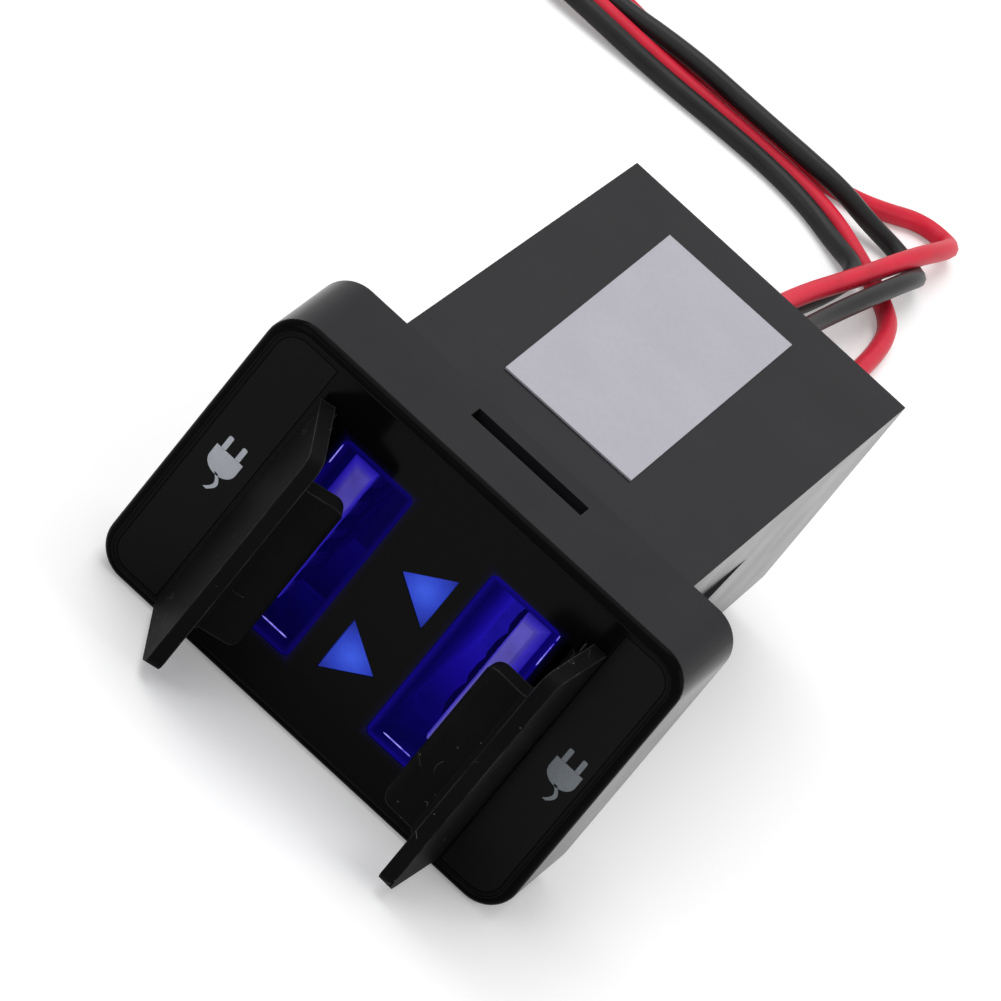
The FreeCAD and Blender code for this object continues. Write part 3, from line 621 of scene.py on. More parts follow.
# By the record's slot, or by a name of its own where a piece's light or gloss differs.
KINDS: dict[str, Finish] = {
    # Bezel and housing, from a fine mould: an even dark grey with a faint sheen.
    "dark_plastic": MouldedPlastic("moulded_abs_dark", "#1d1d20", "#212124", roughness=0.21,
                                   depth=0.0015, specular=0.07),
    # Face, inlays and the bezel's sprayed front: black, and a mirror at a low angle.
    "gloss_black": GlossPlastic("piano_black_abs", specular=0.052, leak=0.6),
    # The inlays' copy is a lighter black than the face: painted reflection.
    "gloss_inlay_painted_reflection": GlossPlastic("piano_black_abs_inlay", "#090909", roughness=0.16),
    "gloss_coat": GlossPlastic("sprayed_gloss_coat", roughness=0.12, specular=0.02),
    # Covers, handled every day: dull black that holds dust, with a painted highlight along its edges.
    "cover_black": MouldedPlastic("satin_polypropylene_black", "#0d0d0d", "#111112", grain=0.2,
                                  depth=0.004, specular=0.02, dust="#a8a6a2", painted_edge_highlight="#404040"),
    # Hinge pins: dark, with thin brushed glints.
    "steel": Metal("blackened_steel", "#38383a", "#29292b", roughness=0.35),
    # Receptacle shells: they only mirror the lamps' blue, less of it on the left.
    "steel_in_blue": Metal("plated_steel_in_blue_light", "#20203a", "#16162a", roughness=0.5,
                           glow=SHELL_GLOW, strength=1.35),
    "steel_in_blue_left": Metal("plated_steel_in_dim_light", "#06061a", "#040412", roughness=0.6,
                                glow=SHELL_GLOW, strength=0.45),
    # Liners: clear plastic filled with blue, with a line of light along the window.
    "blue_clear": LitPlastic("lit_blue_polycarbonate", "#04021e", WALL_GLOW, strength=1.12,
                             roughness=0.35, specular=0.008, edge="#0e0676"),
    # The left port's copy glows weaker: painted shade.
    "blue_clear_left": LitPlastic("lit_blue_polycarbonate_left", "#04021e", WALL_GLOW, strength=0.7,
                                  roughness=0.35, specular=0.008, edge="#0f0672"),
    "painted_glint": PaintedGlint("painted_glint"),
    "arrow_lens": ArrowLens("frosted_blue_lens"),
    # Tongues: white plastic that looks lilac at its nose and blue further in.
    "tongue_white": LitPlastic("lit_tongue_polyamide", "#4e4a92", TONGUE_GLOW, roughness=0.45,
                               specular=0.1),
    # The left port's copy is darker deeper in: painted shade.
    "tongue_left": LitPlastic("lit_tongue_polyamide_left", "#34308a", LEFT_TONGUE_GLOW,
                              roughness=0.45, specular=0.08),
    # Contact springs: gilt, which looks near-black in blue light.
    "contact_brass": Metal("gilt_brass_in_blue_light", "#100c2a", "#0c0920", roughness=0.6,
                           glow=CONTACT_GLOW),
    "contact_left": Metal("gilt_brass_in_dim_light", "#06051c", "#050416", roughness=0.7,
                          glow=LEFT_CONTACT_GLOW),
    # Printed plugs: matt silver ink, duller on the side away from the light.
    "print_left": Paper("screen_print_left", "#c2c6ce", "#b4b8c0"),
    "print_right": Paper("screen_print_right", "#888e94", "#7c8288"),
    "label_paper": Paper("label_stock"),
    # Grommet: soft and dull, with a coarse skin.
    "rubber": MouldedPlastic("moulded_rubber", "#161617", "#1d1d1e", roughness=0.7, grain=0.25,
                             depth=0.01, specular=0.15),
    # Boards: green lacquer over copper, smooth and half glossy.
    "board_green": MouldedPlastic("solder_resist_green", "#0c3b22", "#124a2b", roughness=0.3,
                                  grain=0.5, depth=0.004),
    # Choke core: grey and stony.
    "ferrite": MouldedPlastic("sintered_ferrite", "#2a2a2b", "#38383a", roughness=0.6, grain=0.2,
                              depth=0.01),
    # Capacitor cans: bright, with long soft reflections.
    "can_aluminium": Metal("drawn_aluminium", "#c8cacc", "#a4a6a9", roughness=0.25),
    # Converter chip: dull black.
    "chip_black": MouldedPlastic("moulded_epoxy", "#121213", "#1a1a1b", roughness=0.55, grain=0.15),
    # Leads and their bare ends.
    "red_jacket": Jacket("red_pvc", "#d9263e", "#c81f36", roughness=0.42, specular=0.2),
    "black_jacket": Jacket("black_pvc", "#1e1e1f", "#141415", specular=0.2),
    "tinned_copper": Metal("tinned_copper", "#b9b2a8", "#958d80", roughness=0.35),
    # Tie: smooth nylon with a soft gloss.
    "tie_black": MouldedPlastic("nylon_black", "#141415", "#1c1c1d", roughness=0.45, grain=0.3,
                                depth=0.004),
}

# Nodes whose finish isn't their slot's own.
NODE_KINDS = {
    "upper_arrow_lens": "arrow_lens",
    "lower_arrow_lens": "arrow_lens",
    "left_end_inlay": "gloss_inlay_painted_reflection",
    "right_end_inlay": "gloss_inlay_painted_reflection",
    "left_port_liner": "blue_clear_left",
    "left_port_shell": "steel_in_blue_left",
    "right_port_shell": "steel_in_blue",
    "left_port_tongue": "tongue_left",
    "left_port_contacts": "contact_left",
}


@dataclass
class Finishes:
    """The socket's materials, by the names in KINDS."""

    made: dict[str, bpy.types.Material] = field(default_factory=dict)

    def build(self) -> None:
        """Make the materials."""
        self.made = {name: kind.make() for name, kind in KINDS.items()}

    def dress_nodes(self) -> None:
        """Give every CAD node its finish."""
        for name, node in frame["nodes"].items():
            finish = self.made[NODE_KINDS.get(name, NODE_SLOTS[name])]
            for slot in node.material_slots:
                slot.material = finish
            if not node.material_slots:
                node.data.materials.append(finish)


# -------------------------------------------------------------------- shapes


def rounded_outline(width: float, height: float, radius: float, steps: int = 4) -> np.ndarray:
    """A rounded rectangle as a closed loop, corner by corner.

    A corner's points stand at its centre plus radius times (cos a, sin a), a over a quarter turn.

    Args:
        width: Full width, mm.
        height: Full height, mm.
        radius: Corner radius, mm.
        steps: Points a corner, less one.

    Returns:
        Array (4 * (steps + 1), 2), anticlockwise.
    """
    quarter = np.linspace(0, math.pi / 2, steps + 1)
    a = (quarter[None, :] + np.arange(4)[:, None] * math.pi / 2).ravel()
    signs = np.repeat(np.array([[1, 1], [-1, 1], [-1, -1], [1, -1]], dtype=float), steps + 1, axis=0)
    centre = signs * (np.array([width, height]) / 2 - radius)
    return centre + radius * np.stack([np.cos(a), np.sin(a)], axis=1)


def section(loop: np.ndarray, x: float, y: float) -> np.ndarray:
    """Stand a flat loop up across the depth.

    Args:
        loop: Array (n, 2), across and up, mm.
        x: Its middle along the face, mm.
        y: Its depth, mm.

    Returns:
        Array (n, 3), mm from the face's middle.
    """
    return np.stack([x + loop[:, 0], np.full(len(loop), y), loop[:, 1]], axis=1)


def grid_faces(rows: int, columns: int, round_rows: bool = False) -> list:
    """Four-sided faces between neighbouring points of a grid whose rows are closed loops.

    Args:
        rows: Number of rows.
        columns: Points in a row.
        round_rows: Whether the last row joins the first.

    Returns:
        Lists of four vertex numbers.
    """
    r = np.arange(rows if round_rows else rows - 1)[:, None]
    c = np.arange(columns)[None, :]
    down, over = (r + 1) % rows, (c + 1) % columns
    corners = [r * columns + c, r * columns + over, down * columns + over, down * columns + c]
    return np.stack(corners, axis=-1).reshape(-1, 4).tolist()


def stacked(sections: np.ndarray, closed: bool = False) -> tuple[np.ndarray, list]:
    """A body through a stack of equal loops, with a flat face at each end unless it is a ring.

    Args:
        sections: Array (rows, columns, 3), mm.
        closed: Whether the last loop joins the first.

    Returns:
        Its points and faces.
    """
    rows, columns, _ = sections.shape
    faces = grid_faces(rows, columns, round_rows=closed)
    if not closed:
        faces += [list(range(columns)), list(range((rows - 1) * columns, rows * columns))]
    return sections.reshape(-1, 3), faces


def joined(bodies: list[tuple[np.ndarray, list]]) -> tuple[np.ndarray, list]:
    """Put several bodies into one mesh.

    Args:
        bodies: Points and faces of each.

    Returns:
        All points and all faces.
    """
    faces, start = [], 0
    for points, sides in bodies:
        faces += [[v + start for v in f] for f in sides]
        start += len(points)
    return np.vstack([points for points, _ in bodies]), faces


def heading(path: np.ndarray, closed: bool) -> np.ndarray:
    """The way a path runs at each of its points: from the point before to the point after.

    Args:
        path: Array (n, 3).
        closed: Whether the path returns to its start.

    Returns:
        Unit vectors (n, 3).
    """
    ahead = np.roll(path, -1, axis=0) - np.roll(path, 1, axis=0) if closed else np.gradient(path, axis=0)
    return ahead / np.linalg.norm(ahead, axis=1, keepdims=True)


def along(path: np.ndarray, radius: np.ndarray, steps: int = 8,
          closed: bool = False) -> tuple[np.ndarray, list]:
    """A round bead along a path: circles square to the path, in the plane of two cross products.

    Args:
        path: Array (n, 3), mm.
        radius: Array (n,), mm.
        steps: Points round the bead.
        closed: Whether the path returns to its start.

    Returns:
        Points and faces.
    """
    ahead = heading(path, closed)
    hint = np.where(np.abs(ahead[:, 1:2]) < 0.9, [[0.0, 1.0, 0.0]], [[1.0, 0.0, 0.0]])
    side = np.cross(ahead, hint)
    side /= np.linalg.norm(side, axis=1, keepdims=True)
    up = np.cross(side, ahead)
    a = np.linspace(0, 2 * math.pi, steps, endpoint=False)
    ring = side[:, None, :] * np.cos(a)[None, :, None] + up[:, None, :] * np.sin(a)[None, :, None]
    return stacked(path[:, None, :] + ring * radius[:, None, None], closed)


def ribbon(path: np.ndarray, width: float, thickness: float,
           closed: bool = False) -> tuple[np.ndarray, list]:
    """A flat band whose width lies along x and whose thickness is square to its path.

    Args:
        path: Array (n, 3), mm, all at one x.
        width: Width along x, mm.
        thickness: Thickness in the path's plane, mm.
        closed: Whether the path returns to its start.

    Returns:
        Points and faces.
    """
    across = np.array([width / 2, 0.0, 0.0])
    out = np.cross(heading(path, closed), [1.0, 0.0, 0.0]) * thickness / 2
    corners = [path - across - out, path + across - out, path + across + out, path - across + out]
    return stacked(np.stack(corners, axis=1), closed)


def make_piece(name: str, body: tuple[np.ndarray, list], finish: bpy.types.Material,
               smooth: bool = False, bevel: float = 0.0) -> Piece:
    """Put a mesh on the socket, with its faces turned outwards.

    Args:
        name: The piece's name.
        body: Points in mm from the face's middle, and lists of vertex numbers.
        finish: The material.
        smooth: Whether faces are shaded smooth.
        bevel: Width of a bevel on the sharp edges, mm, none if 0.

    Returns:
        The new object.
    """
    points, faces = body
    mesh = bpy.data.meshes.new(name)
    mesh.from_pydata(place(points).tolist(), [], faces)
    work = bmesh.new()
    work.from_mesh(mesh)
    bmesh.ops.recalc_face_normals(work, faces=work.faces)
    work.to_mesh(mesh)
    work.free()
    mesh.materials.append(finish)
    mesh.polygons.foreach_set("use_smooth", np.full(len(mesh.polygons), smooth))
    piece = bpy.data.objects.new(name, mesh)
    bpy.context.scene.collection.objects.link(piece)
    if bevel:
        edge = piece.modifiers.new("edge", "BEVEL")
        edge.width = bevel * MM
        edge.segments = 2
        edge.limit_method = "ANGLE"
    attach(piece, SOCKET_BODY)
    return piece


# ------------------------------------------------------------ sub-assemblies


@dataclass
class Assembly:
    """A sub-assembly, with the finishes that it is dressed in."""

    finishes: Finishes

    def build(self) -> list[Piece]:
        """Make its pieces.

        Returns:
            The new pieces.
        """
        raise NotImplementedError


@dataclass(frozen=True)
class Bar:
    """One strip of painted glint: its two ends and its radius, mm."""

    start: Point
    end: Point
    radius: float


@dataclass
class Port(Assembly):
    """One receptacle's inside: the tongue with its lead-in, the light guide and the strips of painted
    glint.
    """

    side: Side
    # Strips of painted glint along the liner's edges.
    bars: tuple[Bar, ...]
    offset: float = PORT_WINDOW[0]
    tongue_inner: float = 6.09924  # mm from the middle of the face, the tongue's two sides
    tongue_outer: float = 7.94924
    tongue_front: float = 0.6
    tongue_back: float = 14.0
    tongue_half_height: float = 5.55
    tongue_corner: float = 0.14
    lead_in: float = 0.85  # length of the nose's taper
    nose_inner: float = 0.2  # how far the nose is drawn in on each side, and above and below
    nose_outer: float = 0.72
    nose_top: float = 0.34
    nose_corner: float = 0.1
    block_half_width: float = 2.3
    block_half_height: float = 6.1
    block_corner: float = 0.2
    block_back: float = 17.95
    bar_taper: float = 0.08  # share of a bar's length, at each end
    guide_front: float = 7.05
    guide_back: float = 17.6
    guide_gap: float = 0.02
    guide_wall: float = 0.2
    shell_width: float = 5.5
    shell_height: float = 13.2
    shell_corner: float = 0.6

    def tongue(self) -> Piece:
        """The tongue: rounded sections from the tapered nose back to the block that holds it.

        Returns:
            The tongue, which stands for the CAD one.
        """
        block = (self.offset - self.block_half_width, self.offset + self.block_half_width,
                 self.block_half_height, self.block_corner)
        blade = (self.tongue_inner, self.tongue_outer, self.tongue_half_height, self.tongue_corner)
        nose = (self.tongue_inner + self.nose_inner, self.tongue_outer - self.nose_outer,
                self.tongue_half_height - self.nose_top, self.nose_corner)
        rows = []
        for y, (near, far, half, corner) in (
            (self.tongue_front, nose), (self.tongue_front + self.lead_in, blade),
            (self.tongue_back, blade), (self.tongue_back, block), (self.block_back, block),
        ):
            loop = rounded_outline(far - near, 2 * half, corner) * [self.side.value, 1]
            rows.append(section(loop, self.side.value * (near + far) / 2, y))
        glow = "tongue_white" if self.side is Side.RIGHT else "tongue_left"
        piece = make_piece(f"{self.side.word}_port_tongue_moulding", stacked(np.array(rows)),
                           self.finishes.made[glow])
        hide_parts(f"{self.side.word}_port_tongue")
        return piece

    def painted_glints(self) -> list[Piece]:
        """Painted glints as slim strips with tapered ends: radius falls as the root of the distance from an
        end.

        Returns:
            The strips of painted glint.
        """
        t = np.linspace(0, 1, 13)
        taper = np.sqrt(np.clip(np.minimum(t, 1 - t) / self.bar_taper, 0.05, 1.0))
        pieces = []
        for number, bar in enumerate(self.bars, 1):
            path = np.array(bar.start) * (1 - t)[:, None] + np.array(bar.end) * t[:, None]
            pieces.append(make_piece(
                f"{self.side.word}_light_bar_{number}", along(path, bar.radius * taper),
                self.finishes.made["painted_glint"], smooth=True))
        return pieces

    def light_guide(self) -> Piece:
        """A clear sleeve round the shell, which carries the lamps' light to the liner.

        Returns:
            The sleeve.
        """
        inner, outer = self.guide_gap, self.guide_gap + self.guide_wall
        rows = []
        for y, grow in ((self.guide_front, inner), (self.guide_back, inner),
                        (self.guide_back, outer), (self.guide_front, outer)):
            loop = rounded_outline(self.shell_width + 2 * grow, self.shell_height + 2 * grow,
                                   self.shell_corner + grow)
            rows.append(section(loop, self.side.value * self.offset, y))
        glow = "blue_clear" if self.side is Side.RIGHT else "blue_clear_left"
        return make_piece(f"{self.side.word}_light_guide", stacked(np.array(rows), closed=True),
                          self.finishes.made[glow])

    def build(self) -> list[Piece]:
        """Build the port's own pieces.

        Returns:
            The tongue, the light guide and the strips of painted glint.
        """
        return [self.tongue(), self.light_guide(), *self.painted_glints()]


@dataclass
class PlugMark(Assembly):
    """A plain printed plug on an end inlay: two pins, a cup-shaped body and a curved cord."""

    side: Side
    centre: float  # mm along the face
    face: float = -0.6
    ink: float = 0.02  # thickness
    sunk: float = 0.005
    body_width: float = 2.1
    body_top: float = 0.75
    foot_start: float = -0.1
    foot_depth: float = 0.85
    pin_width: float = 0.36
    pin_length: float = 1.05
    pin_corner: float = 0.12
    pin_level: float = 1.25
    pin_offset: float = 0.55
    cord_start: float = -0.8
    cord_drop: float = 1.3
    cord_sway: float = 0.42
    cord_half_width: float = 0.14

    def outlines(self) -> list[np.ndarray]:
        """The plug's closed loops.

        The body's foot is half an ellipse, and the cord's middle line is a half wave of a sine.

        Returns:
            Arrays (n, 2), across and up, mm.
        """
        a = np.linspace(0, -math.pi, 17)
        half = self.body_width / 2
        foot = np.stack([half * np.cos(a), self.foot_start + self.foot_depth * np.sin(a)], axis=1)
        body = np.vstack([[[-half, self.body_top], [half, self.body_top]], foot])
        pin = rounded_outline(self.pin_width, self.pin_length, self.pin_corner)
        pins = [pin + np.array([side * self.pin_offset, self.pin_level]) for side in (-1, 1)]
        t = np.linspace(0, 1, 17)
        down = self.cord_start - self.cord_drop * t
        sway = self.cord_sway * np.sin(t * math.pi)
        left = np.stack([sway - self.cord_half_width, down], axis=1)
        right = np.stack([sway + self.cord_half_width, down], axis=1)[::-1]
        return [body, *pins, np.vstack([left, right])]

    def build(self) -> list[Piece]:
        """Lay the ink as thin plates on the inlay.

        Returns:
            The plug mark.
        """
        levels = (self.face - self.ink, self.face + self.sunk)
        plates = [stacked(np.array([section(loop, self.centre, y) for y in levels]))
                  for loop in self.outlines()]
        return [make_piece(f"{self.side.word}_plug_mark", joined(plates),
                           self.finishes.made["print_" + self.side.word])]


@dataclass
class RimLip(Assembly):
    """The polished lip round the inside of the bezel's rim, which catches the light as a thin line."""

    width: float = 31.9
    height: float = 20.7
    corner: float = 1.8
    corner_steps: int = 10
    depth: float = -0.58  # mm behind the face's middle
    radius: float = 0.07

    def build(self) -> list[Piece]:
        """Run a round bead along the rim's inner edge.

        Returns:
            The lip.
        """
        loop = rounded_outline(self.width, self.height, self.corner, self.corner_steps)
        path = section(loop, 0.0, self.depth)
        return [make_piece("rim_lip", along(path, np.full(len(path), self.radius), closed=True),
                           self.finishes.made["gloss_black"], smooth=True)]


@dataclass
class GlossCoat(Assembly):
    """The bezel's sprayed front: a film over the rounded edge, the rim and down its inner wall."""

    width: float = 33.2
    height: float = 22.0
    corner: float = 2.4
    corner_steps: int = 10
    face: float = -0.6
    edge_round: float = 0.6
    rim: float = 0.65
    wall: float = 0.3  # how far the film runs down inside the rim
    film: float = 0.012
    sunk: float = 0.03  # how deep its back lies in the moulding

    def build(self) -> list[Piece]:
        """Sweep the film's section round the bezel.

        The section is a quarter circle of the edge's radius r, at inset r (1 - cos a) and depth
        r (1 - sin a) behind the face, once outside the moulding and once back inside it.

        Returns:
            The film.
        """
        a = np.linspace(0, math.pi / 2, 9)
        outline = []
        for grow, angles in ((self.film, a), (-self.sunk, a[::-1])):
            reach = self.edge_round + grow
            middle = self.face + self.edge_round
            arc = [(self.edge_round - reach * math.cos(t), middle - reach * math.sin(t)) for t in angles]
            wall = [(self.rim + grow, self.face - grow), (self.rim + grow, self.face + self.wall)]
            outline += arc + wall if grow > 0 else wall[::-1] + arc
        rows = []
        for inset, y in outline:
            loop = rounded_outline(self.width - 2 * inset, self.height - 2 * inset,
                                   self.corner - inset, self.corner_steps)
            rows.append(section(loop, 0.0, y))
        return [make_piece("bezel_gloss_coat", stacked(np.array(rows), closed=True),
                           self.finishes.made["gloss_coat"], smooth=True)]


@dataclass
class CoilTie(Assembly):
    """A nylon tie round the wound-up leads: a band with rounded corners, its head and the cut tail."""

    x: float  # mm, the coil's middle
    back: float  # mm, the coil's middle behind the housing
    width: float = 2.4
    thickness: float = 0.5
    near: float = 4.22  # mm, the band's middle line from the coil's middle, near and far
    far: float = 10.67
    low: float = 0.25  # mm over the table
    tall: float = 7.22
    short: float = 5.62
    corner: float = 0.9
    corner_points: int = 7
    band_edge: float = 0.06  # mm, the bevels
    edge: float = 0.05
    head_shift: float = 0.4  # mm down the slope
    head_length: float = 3.4
    head_width: float = 3.9
    head_corner: float = 0.45
    head_sunk: float = 0.1
    head_height: float = 1.5
    head_crown: float = 0.25
    tail_start: float = 1.5  # mm down the slope from the head's middle
    tail_length: float = 1.7
    tail_level: float = 1.1
    tail_rise: float = 0.25

    def band(self) -> np.ndarray:
        """The band's middle line: four sides, with a quadratic curve over each corner.

        Returns:
            Array (n, 3), mm from the face's middle.
        """
        corners = np.array([(self.near, self.low), (self.far, self.low),
                            (self.far, self.short), (self.near, self.tall)])
        t = np.linspace(0, 1, self.corner_points)[:, None]
        rows = []
        neighbours = zip(np.roll(corners, 1, axis=0), corners, np.roll(corners, -1, axis=0))
        for before, here, after in neighbours:
            enter = here + (before - here) / np.linalg.norm(before - here) * self.corner
            leave = here + (after - here) / np.linalg.norm(after - here) * self.corner
            rows.append(enter * (1 - t) ** 2 + here * 2 * t * (1 - t) + leave * t ** 2)
        flat = np.vstack(rows)
        points = np.stack([np.full(len(flat), self.x), self.back + flat[:, 0], flat[:, 1]], axis=1)
        return points + np.array([0.0, HOUSING_BACK, 0.0]) - FACE_MIDDLE

    def build(self) -> list[Piece]:
        """Make the band, the head on its sloping top and the tail behind the head.

        Returns:
            The three pieces.
        """
        nylon = self.finishes.made["tie_black"]
        band = self.band()
        loop = make_piece("coil_tie_band", ribbon(band, self.width, self.thickness, closed=True), nylon,
                          bevel=self.band_edge)
        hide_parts("coil_tie")
        across = np.array([1.0, 0.0, 0.0])
        slope = np.array([0.0, self.far - self.near, self.short - self.tall])
        slope /= np.linalg.norm(slope)
        out = np.cross(across, slope)
        # Halfway between where the far top corner starts and where the near one ends.
        middle = (band[2 * self.corner_points] + band[-1]) / 2 + slope * self.head_shift
        rows = []
        for rise, inset in ((-self.head_sunk, 0.0), (self.head_height, 0.0),
                            (self.head_height + self.head_crown, self.head_crown)):
            rim = rounded_outline(self.head_width - 2 * inset, self.head_length - 2 * inset,
                                  self.head_corner)
            level = out * (self.thickness / 2 + rise)
            rows.append(middle + across * rim[:, 0:1] + slope * rim[:, 1:2] + level)
        head = make_piece("coil_tie_head", stacked(np.array(rows)), nylon, bevel=self.edge)
        t = np.linspace(0, 1, 9)[:, None]
        down = slope * (self.tail_start + self.tail_length * t)
        lift = out * (self.tail_level + self.tail_rise * t ** 2)
        tail = make_piece("coil_tie_tail", ribbon(middle + down + lift, self.width, self.thickness),
                          nylon, bevel=self.edge)
        return [loop, head, tail]


@dataclass(frozen=True)
class LeadRoute:
    """One lead: the given way from the grommet to its ring of wound-up turns."""

    name: str
    slot: str
    points: tuple[Point, ...]  # mm: x, behind the housing, over the table
    radius: float  # mm, of its ring
    turns: float
    length: float  # m, all of it


@dataclass
class LeadLoom(Assembly):
    """The four leads, which fold back in two hairpins and end in rings held by a tie."""

    diameter: float = 1.35  # mm
    coil_x: float = -37.0
    coil_back: float = 54.3
    coil_level: float = 1.225
    pitch: float = 1.45
    per_turn: int = 16
    strand_radius: float = 0.13  # mm
    strand_length: float = 4.6
    strand_hidden: float = 0.4  # mm inside the jacket
    strand_cut: float = 0.03  # by how much a strand is shorter than the next, as a share
    strand_twist: float = 7.0  # mm for a whole turn
    routes: tuple[LeadRoute, ...] = (
        LeadRoute("red_lead_a", "red_jacket", (
            (-1.1, 1.5, 9.0), (-1.1, 6.5, 9.0), (-1.5, 14.0, 6.9), (-1.85, 22.5, 3.8),
            (-1.6, 31.4, 2.6), (0.1, 39.7, 2.6), (1.4, 47.0, 2.7), (2.2, 52.2, 1.9),
            (2.1, 55.0, 0.9), (-0.5, 55.2, 0.7), (-2.6, 52.7, 0.7), (-4.7, 50.9, 0.7),
            (-8.0, 49.5, 0.7), (-13.2, 49.1, 0.7), (-19.5, 49.0, 0.7), (-26.3, 48.95, 1.225),
            (-37.0, 48.95, 1.225),
        ), radius=5.35, turns=3.75, length=0.2191),
        LeadRoute("black_lead_a", "black_jacket", (
            (1.1, 1.5, 9.0), (1.1, 6.5, 9.0), (0.9, 14.0, 6.9), (0.4, 22.5, 3.7),
            (0.6, 31.4, 2.4), (1.75, 39.4, 2.75), (2.5, 45.4, 2.45), (2.3, 48.3, 0.9),
            (0.1, 49.7, 0.7), (-2.6, 48.9, 1.3), (-5.4, 48.3, 2.1), (-9.0, 48.1, 2.15),
            (-13.5, 48.0, 2.1), (-19.0, 47.9, 2.1), (-26.3, 47.5, 1.225), (-37.0, 47.5, 1.225),
        ), radius=6.8, turns=3.6, length=0.2398),
        LeadRoute("red_lead_b", "red_jacket", (
            (1.1, 1.5, 6.8), (1.1, 6.5, 6.8), (2.0, 13.5, 4.9), (3.6, 21.5, 2.0),
            (4.6, 29.5, 0.7), (4.6, 35.8, 0.7), (3.8, 41.0, 0.7), (1.4, 43.5, 0.7),
            (-1.5, 45.4, 0.7), (-4.5, 47.1, 0.7), (-8.2, 47.7, 0.7), (-13.4, 47.6, 0.7),
            (-19.5, 46.9, 0.7), (-26.3, 46.05, 1.225), (-37.0, 46.05, 1.225),
        ), radius=8.25, turns=2.75, length=0.2233),
        LeadRoute("black_lead_b", "black_jacket", (
            (-1.1, 1.5, 6.8), (-1.1, 6.5, 6.8), (-1.4, 13.5, 4.9), (-2.0, 21.0, 2.2),
            (-1.8, 30.0, 1.2), (-0.9, 36.0, 1.0), (-0.5, 40.2, 1.15), (-0.5, 43.0, 1.2),
            (-3.2, 44.6, 0.7), (-6.0, 45.8, 0.7), (-9.4, 46.3, 0.7), (-13.6, 46.1, 0.7),
            (-20.0, 45.4, 0.7), (-26.3, 44.6, 1.225), (-37.0, 44.6, 1.225),
        ), radius=9.7, turns=2.6, length=0.2363),
    )

    def control_points(self, route: LeadRoute) -> np.ndarray:
        """The spline's control points: the listed way, then the ring's turns.

        A ring's point at angle a stands at radius R from the coil's middle, at
        x = middle - R sin a, y = middle - R cos a, and climbs one pitch a turn.

        Args:
            route: The lead.

        Returns:
            Array (n, 3) in metres in the row frame.
        """
        count = int(round(route.turns * self.per_turn))
        a = np.arange(1, count + 1) * (2 * math.pi / self.per_turn)
        ring = np.stack([
            self.coil_x - route.radius * np.sin(a),
            self.coil_back - route.radius * np.cos(a),
            self.coil_level + a / (2 * math.pi) * self.pitch,
        ], axis=1)
        points = np.vstack([np.array(route.points), ring])
        return (points + np.array([0.0, HOUSING_BACK, 0.0])) * MM

    def lay(self, route: LeadRoute) -> tuple[Piece, np.ndarray]:
        """Lay one lead as a spline with a round section.

        Args:
            route: The lead.

        Returns:
            The lead, and the points of its middle line as the spline gives them, in metres.
        """
        points = self.control_points(route)
        curve = bpy.data.curves.new(route.name + "_jacket", "CURVE")
        curve.dimensions = "3D"
        curve.resolution_u = 6
        spline = curve.splines.new("NURBS")
        spline.points.add(len(points) - 1)
        spline.points.foreach_set("co", np.hstack([points, np.ones((len(points), 1))]).ravel())
        spline.order_u = 3
        spline.use_endpoint_u = True
        piece = bpy.data.objects.new(route.name + "_jacket", curve)
        bpy.context.scene.collection.objects.link(piece)
        thread = bpy.data.meshes.new_from_object(piece)
        line = np.array([v.co for v in thread.vertices])
        bpy.data.meshes.remove(thread)
        curve.bevel_depth = self.diameter / 2 * MM
        curve.bevel_resolution = 3
        curve.use_fill_caps = True
        curve.materials.append(self.finishes.made[route.slot])
        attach(piece, SOCKET_BODY)
        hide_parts(route.name, route.name.replace("lead", "coil"))
        return piece, line

    def strands(self, lines: list[np.ndarray]) -> Piece:
        """Seven tinned strands at each lead's bare end, six of them twisted round the first.

        A strand's point at the distance t from the jacket stands two strand radii from the middle, at
        the strand's own angle plus 2 pi t / twist.

        Args:
            lines: The middle line of each lead, metres.

        Returns:
            The strands, as one piece.
        """
        t = np.linspace(-self.strand_hidden, self.strand_length, 15)
        wires = []
        for line in lines:
            end = line[-1] / MM - FACE_MIDDLE
            way = line[-1] - line[-2]
            way /= np.linalg.norm(way)
            side = np.cross(way, [0.0, 0.0, 1.0])
            side /= np.linalg.norm(side)
            up = np.cross(side, way)
            for number in range(7):
                angle = number * math.pi / 3 + 2 * math.pi * t / self.strand_twist
                off = 0.0 if number == 6 else 2 * self.strand_radius
                reach = t * (1 - self.strand_cut * (number % 3))
                turned = side * np.cos(angle)[:, None] + up * np.sin(angle)[:, None]
                path = end + way * reach[:, None] + off * turned
                wires.append(along(path, np.full(len(t), self.strand_radius)))
        piece = make_piece("lead_strands", joined(wires), self.finishes.made["tinned_copper"],
                           smooth=True)
        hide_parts("lead_tips")
        return piece

    def build(self) -> list[Piece]:
        """Returns:
            The leads, the strands and the tie's pieces.
        """
        laid = [self.lay(route) for route in self.routes]
        strands = self.strands([line for _, line in laid])
        tie = CoilTie(self.finishes, self.coil_x, self.coil_back).build()
        return [*(piece for piece, _ in laid), strands, *tie]


# -------------------------------------------------------------------- studio


def seen_straight(tree: Tree) -> Socket:
    """One where the eye, a mirror or a clear piece looks at the studio, nought where it only lights.

    Args:
        tree: The node tree of the world or of the table.

    Returns:
        The larger of the camera, glossy and transmission ray tests.
    """
    path = add(tree, "LightPath")
    eye = {0: path.outputs["Is Camera Ray"], 1: path.outputs["Is Glossy Ray"]}
    mirrored = add(tree, "Math", eye, operation="MAXIMUM")
    through = {0: mirrored, 1: path.outputs["Is Transmission Ray"]}
    return add(tree, "Math", through, operation="MAXIMUM").outputs["Value"]


@dataclass(frozen=True)
class Lamp:
    """A square soft lamp: its place and size in metres, and its power in watts."""

    name: str
    place: Point
    size: float
    power: float


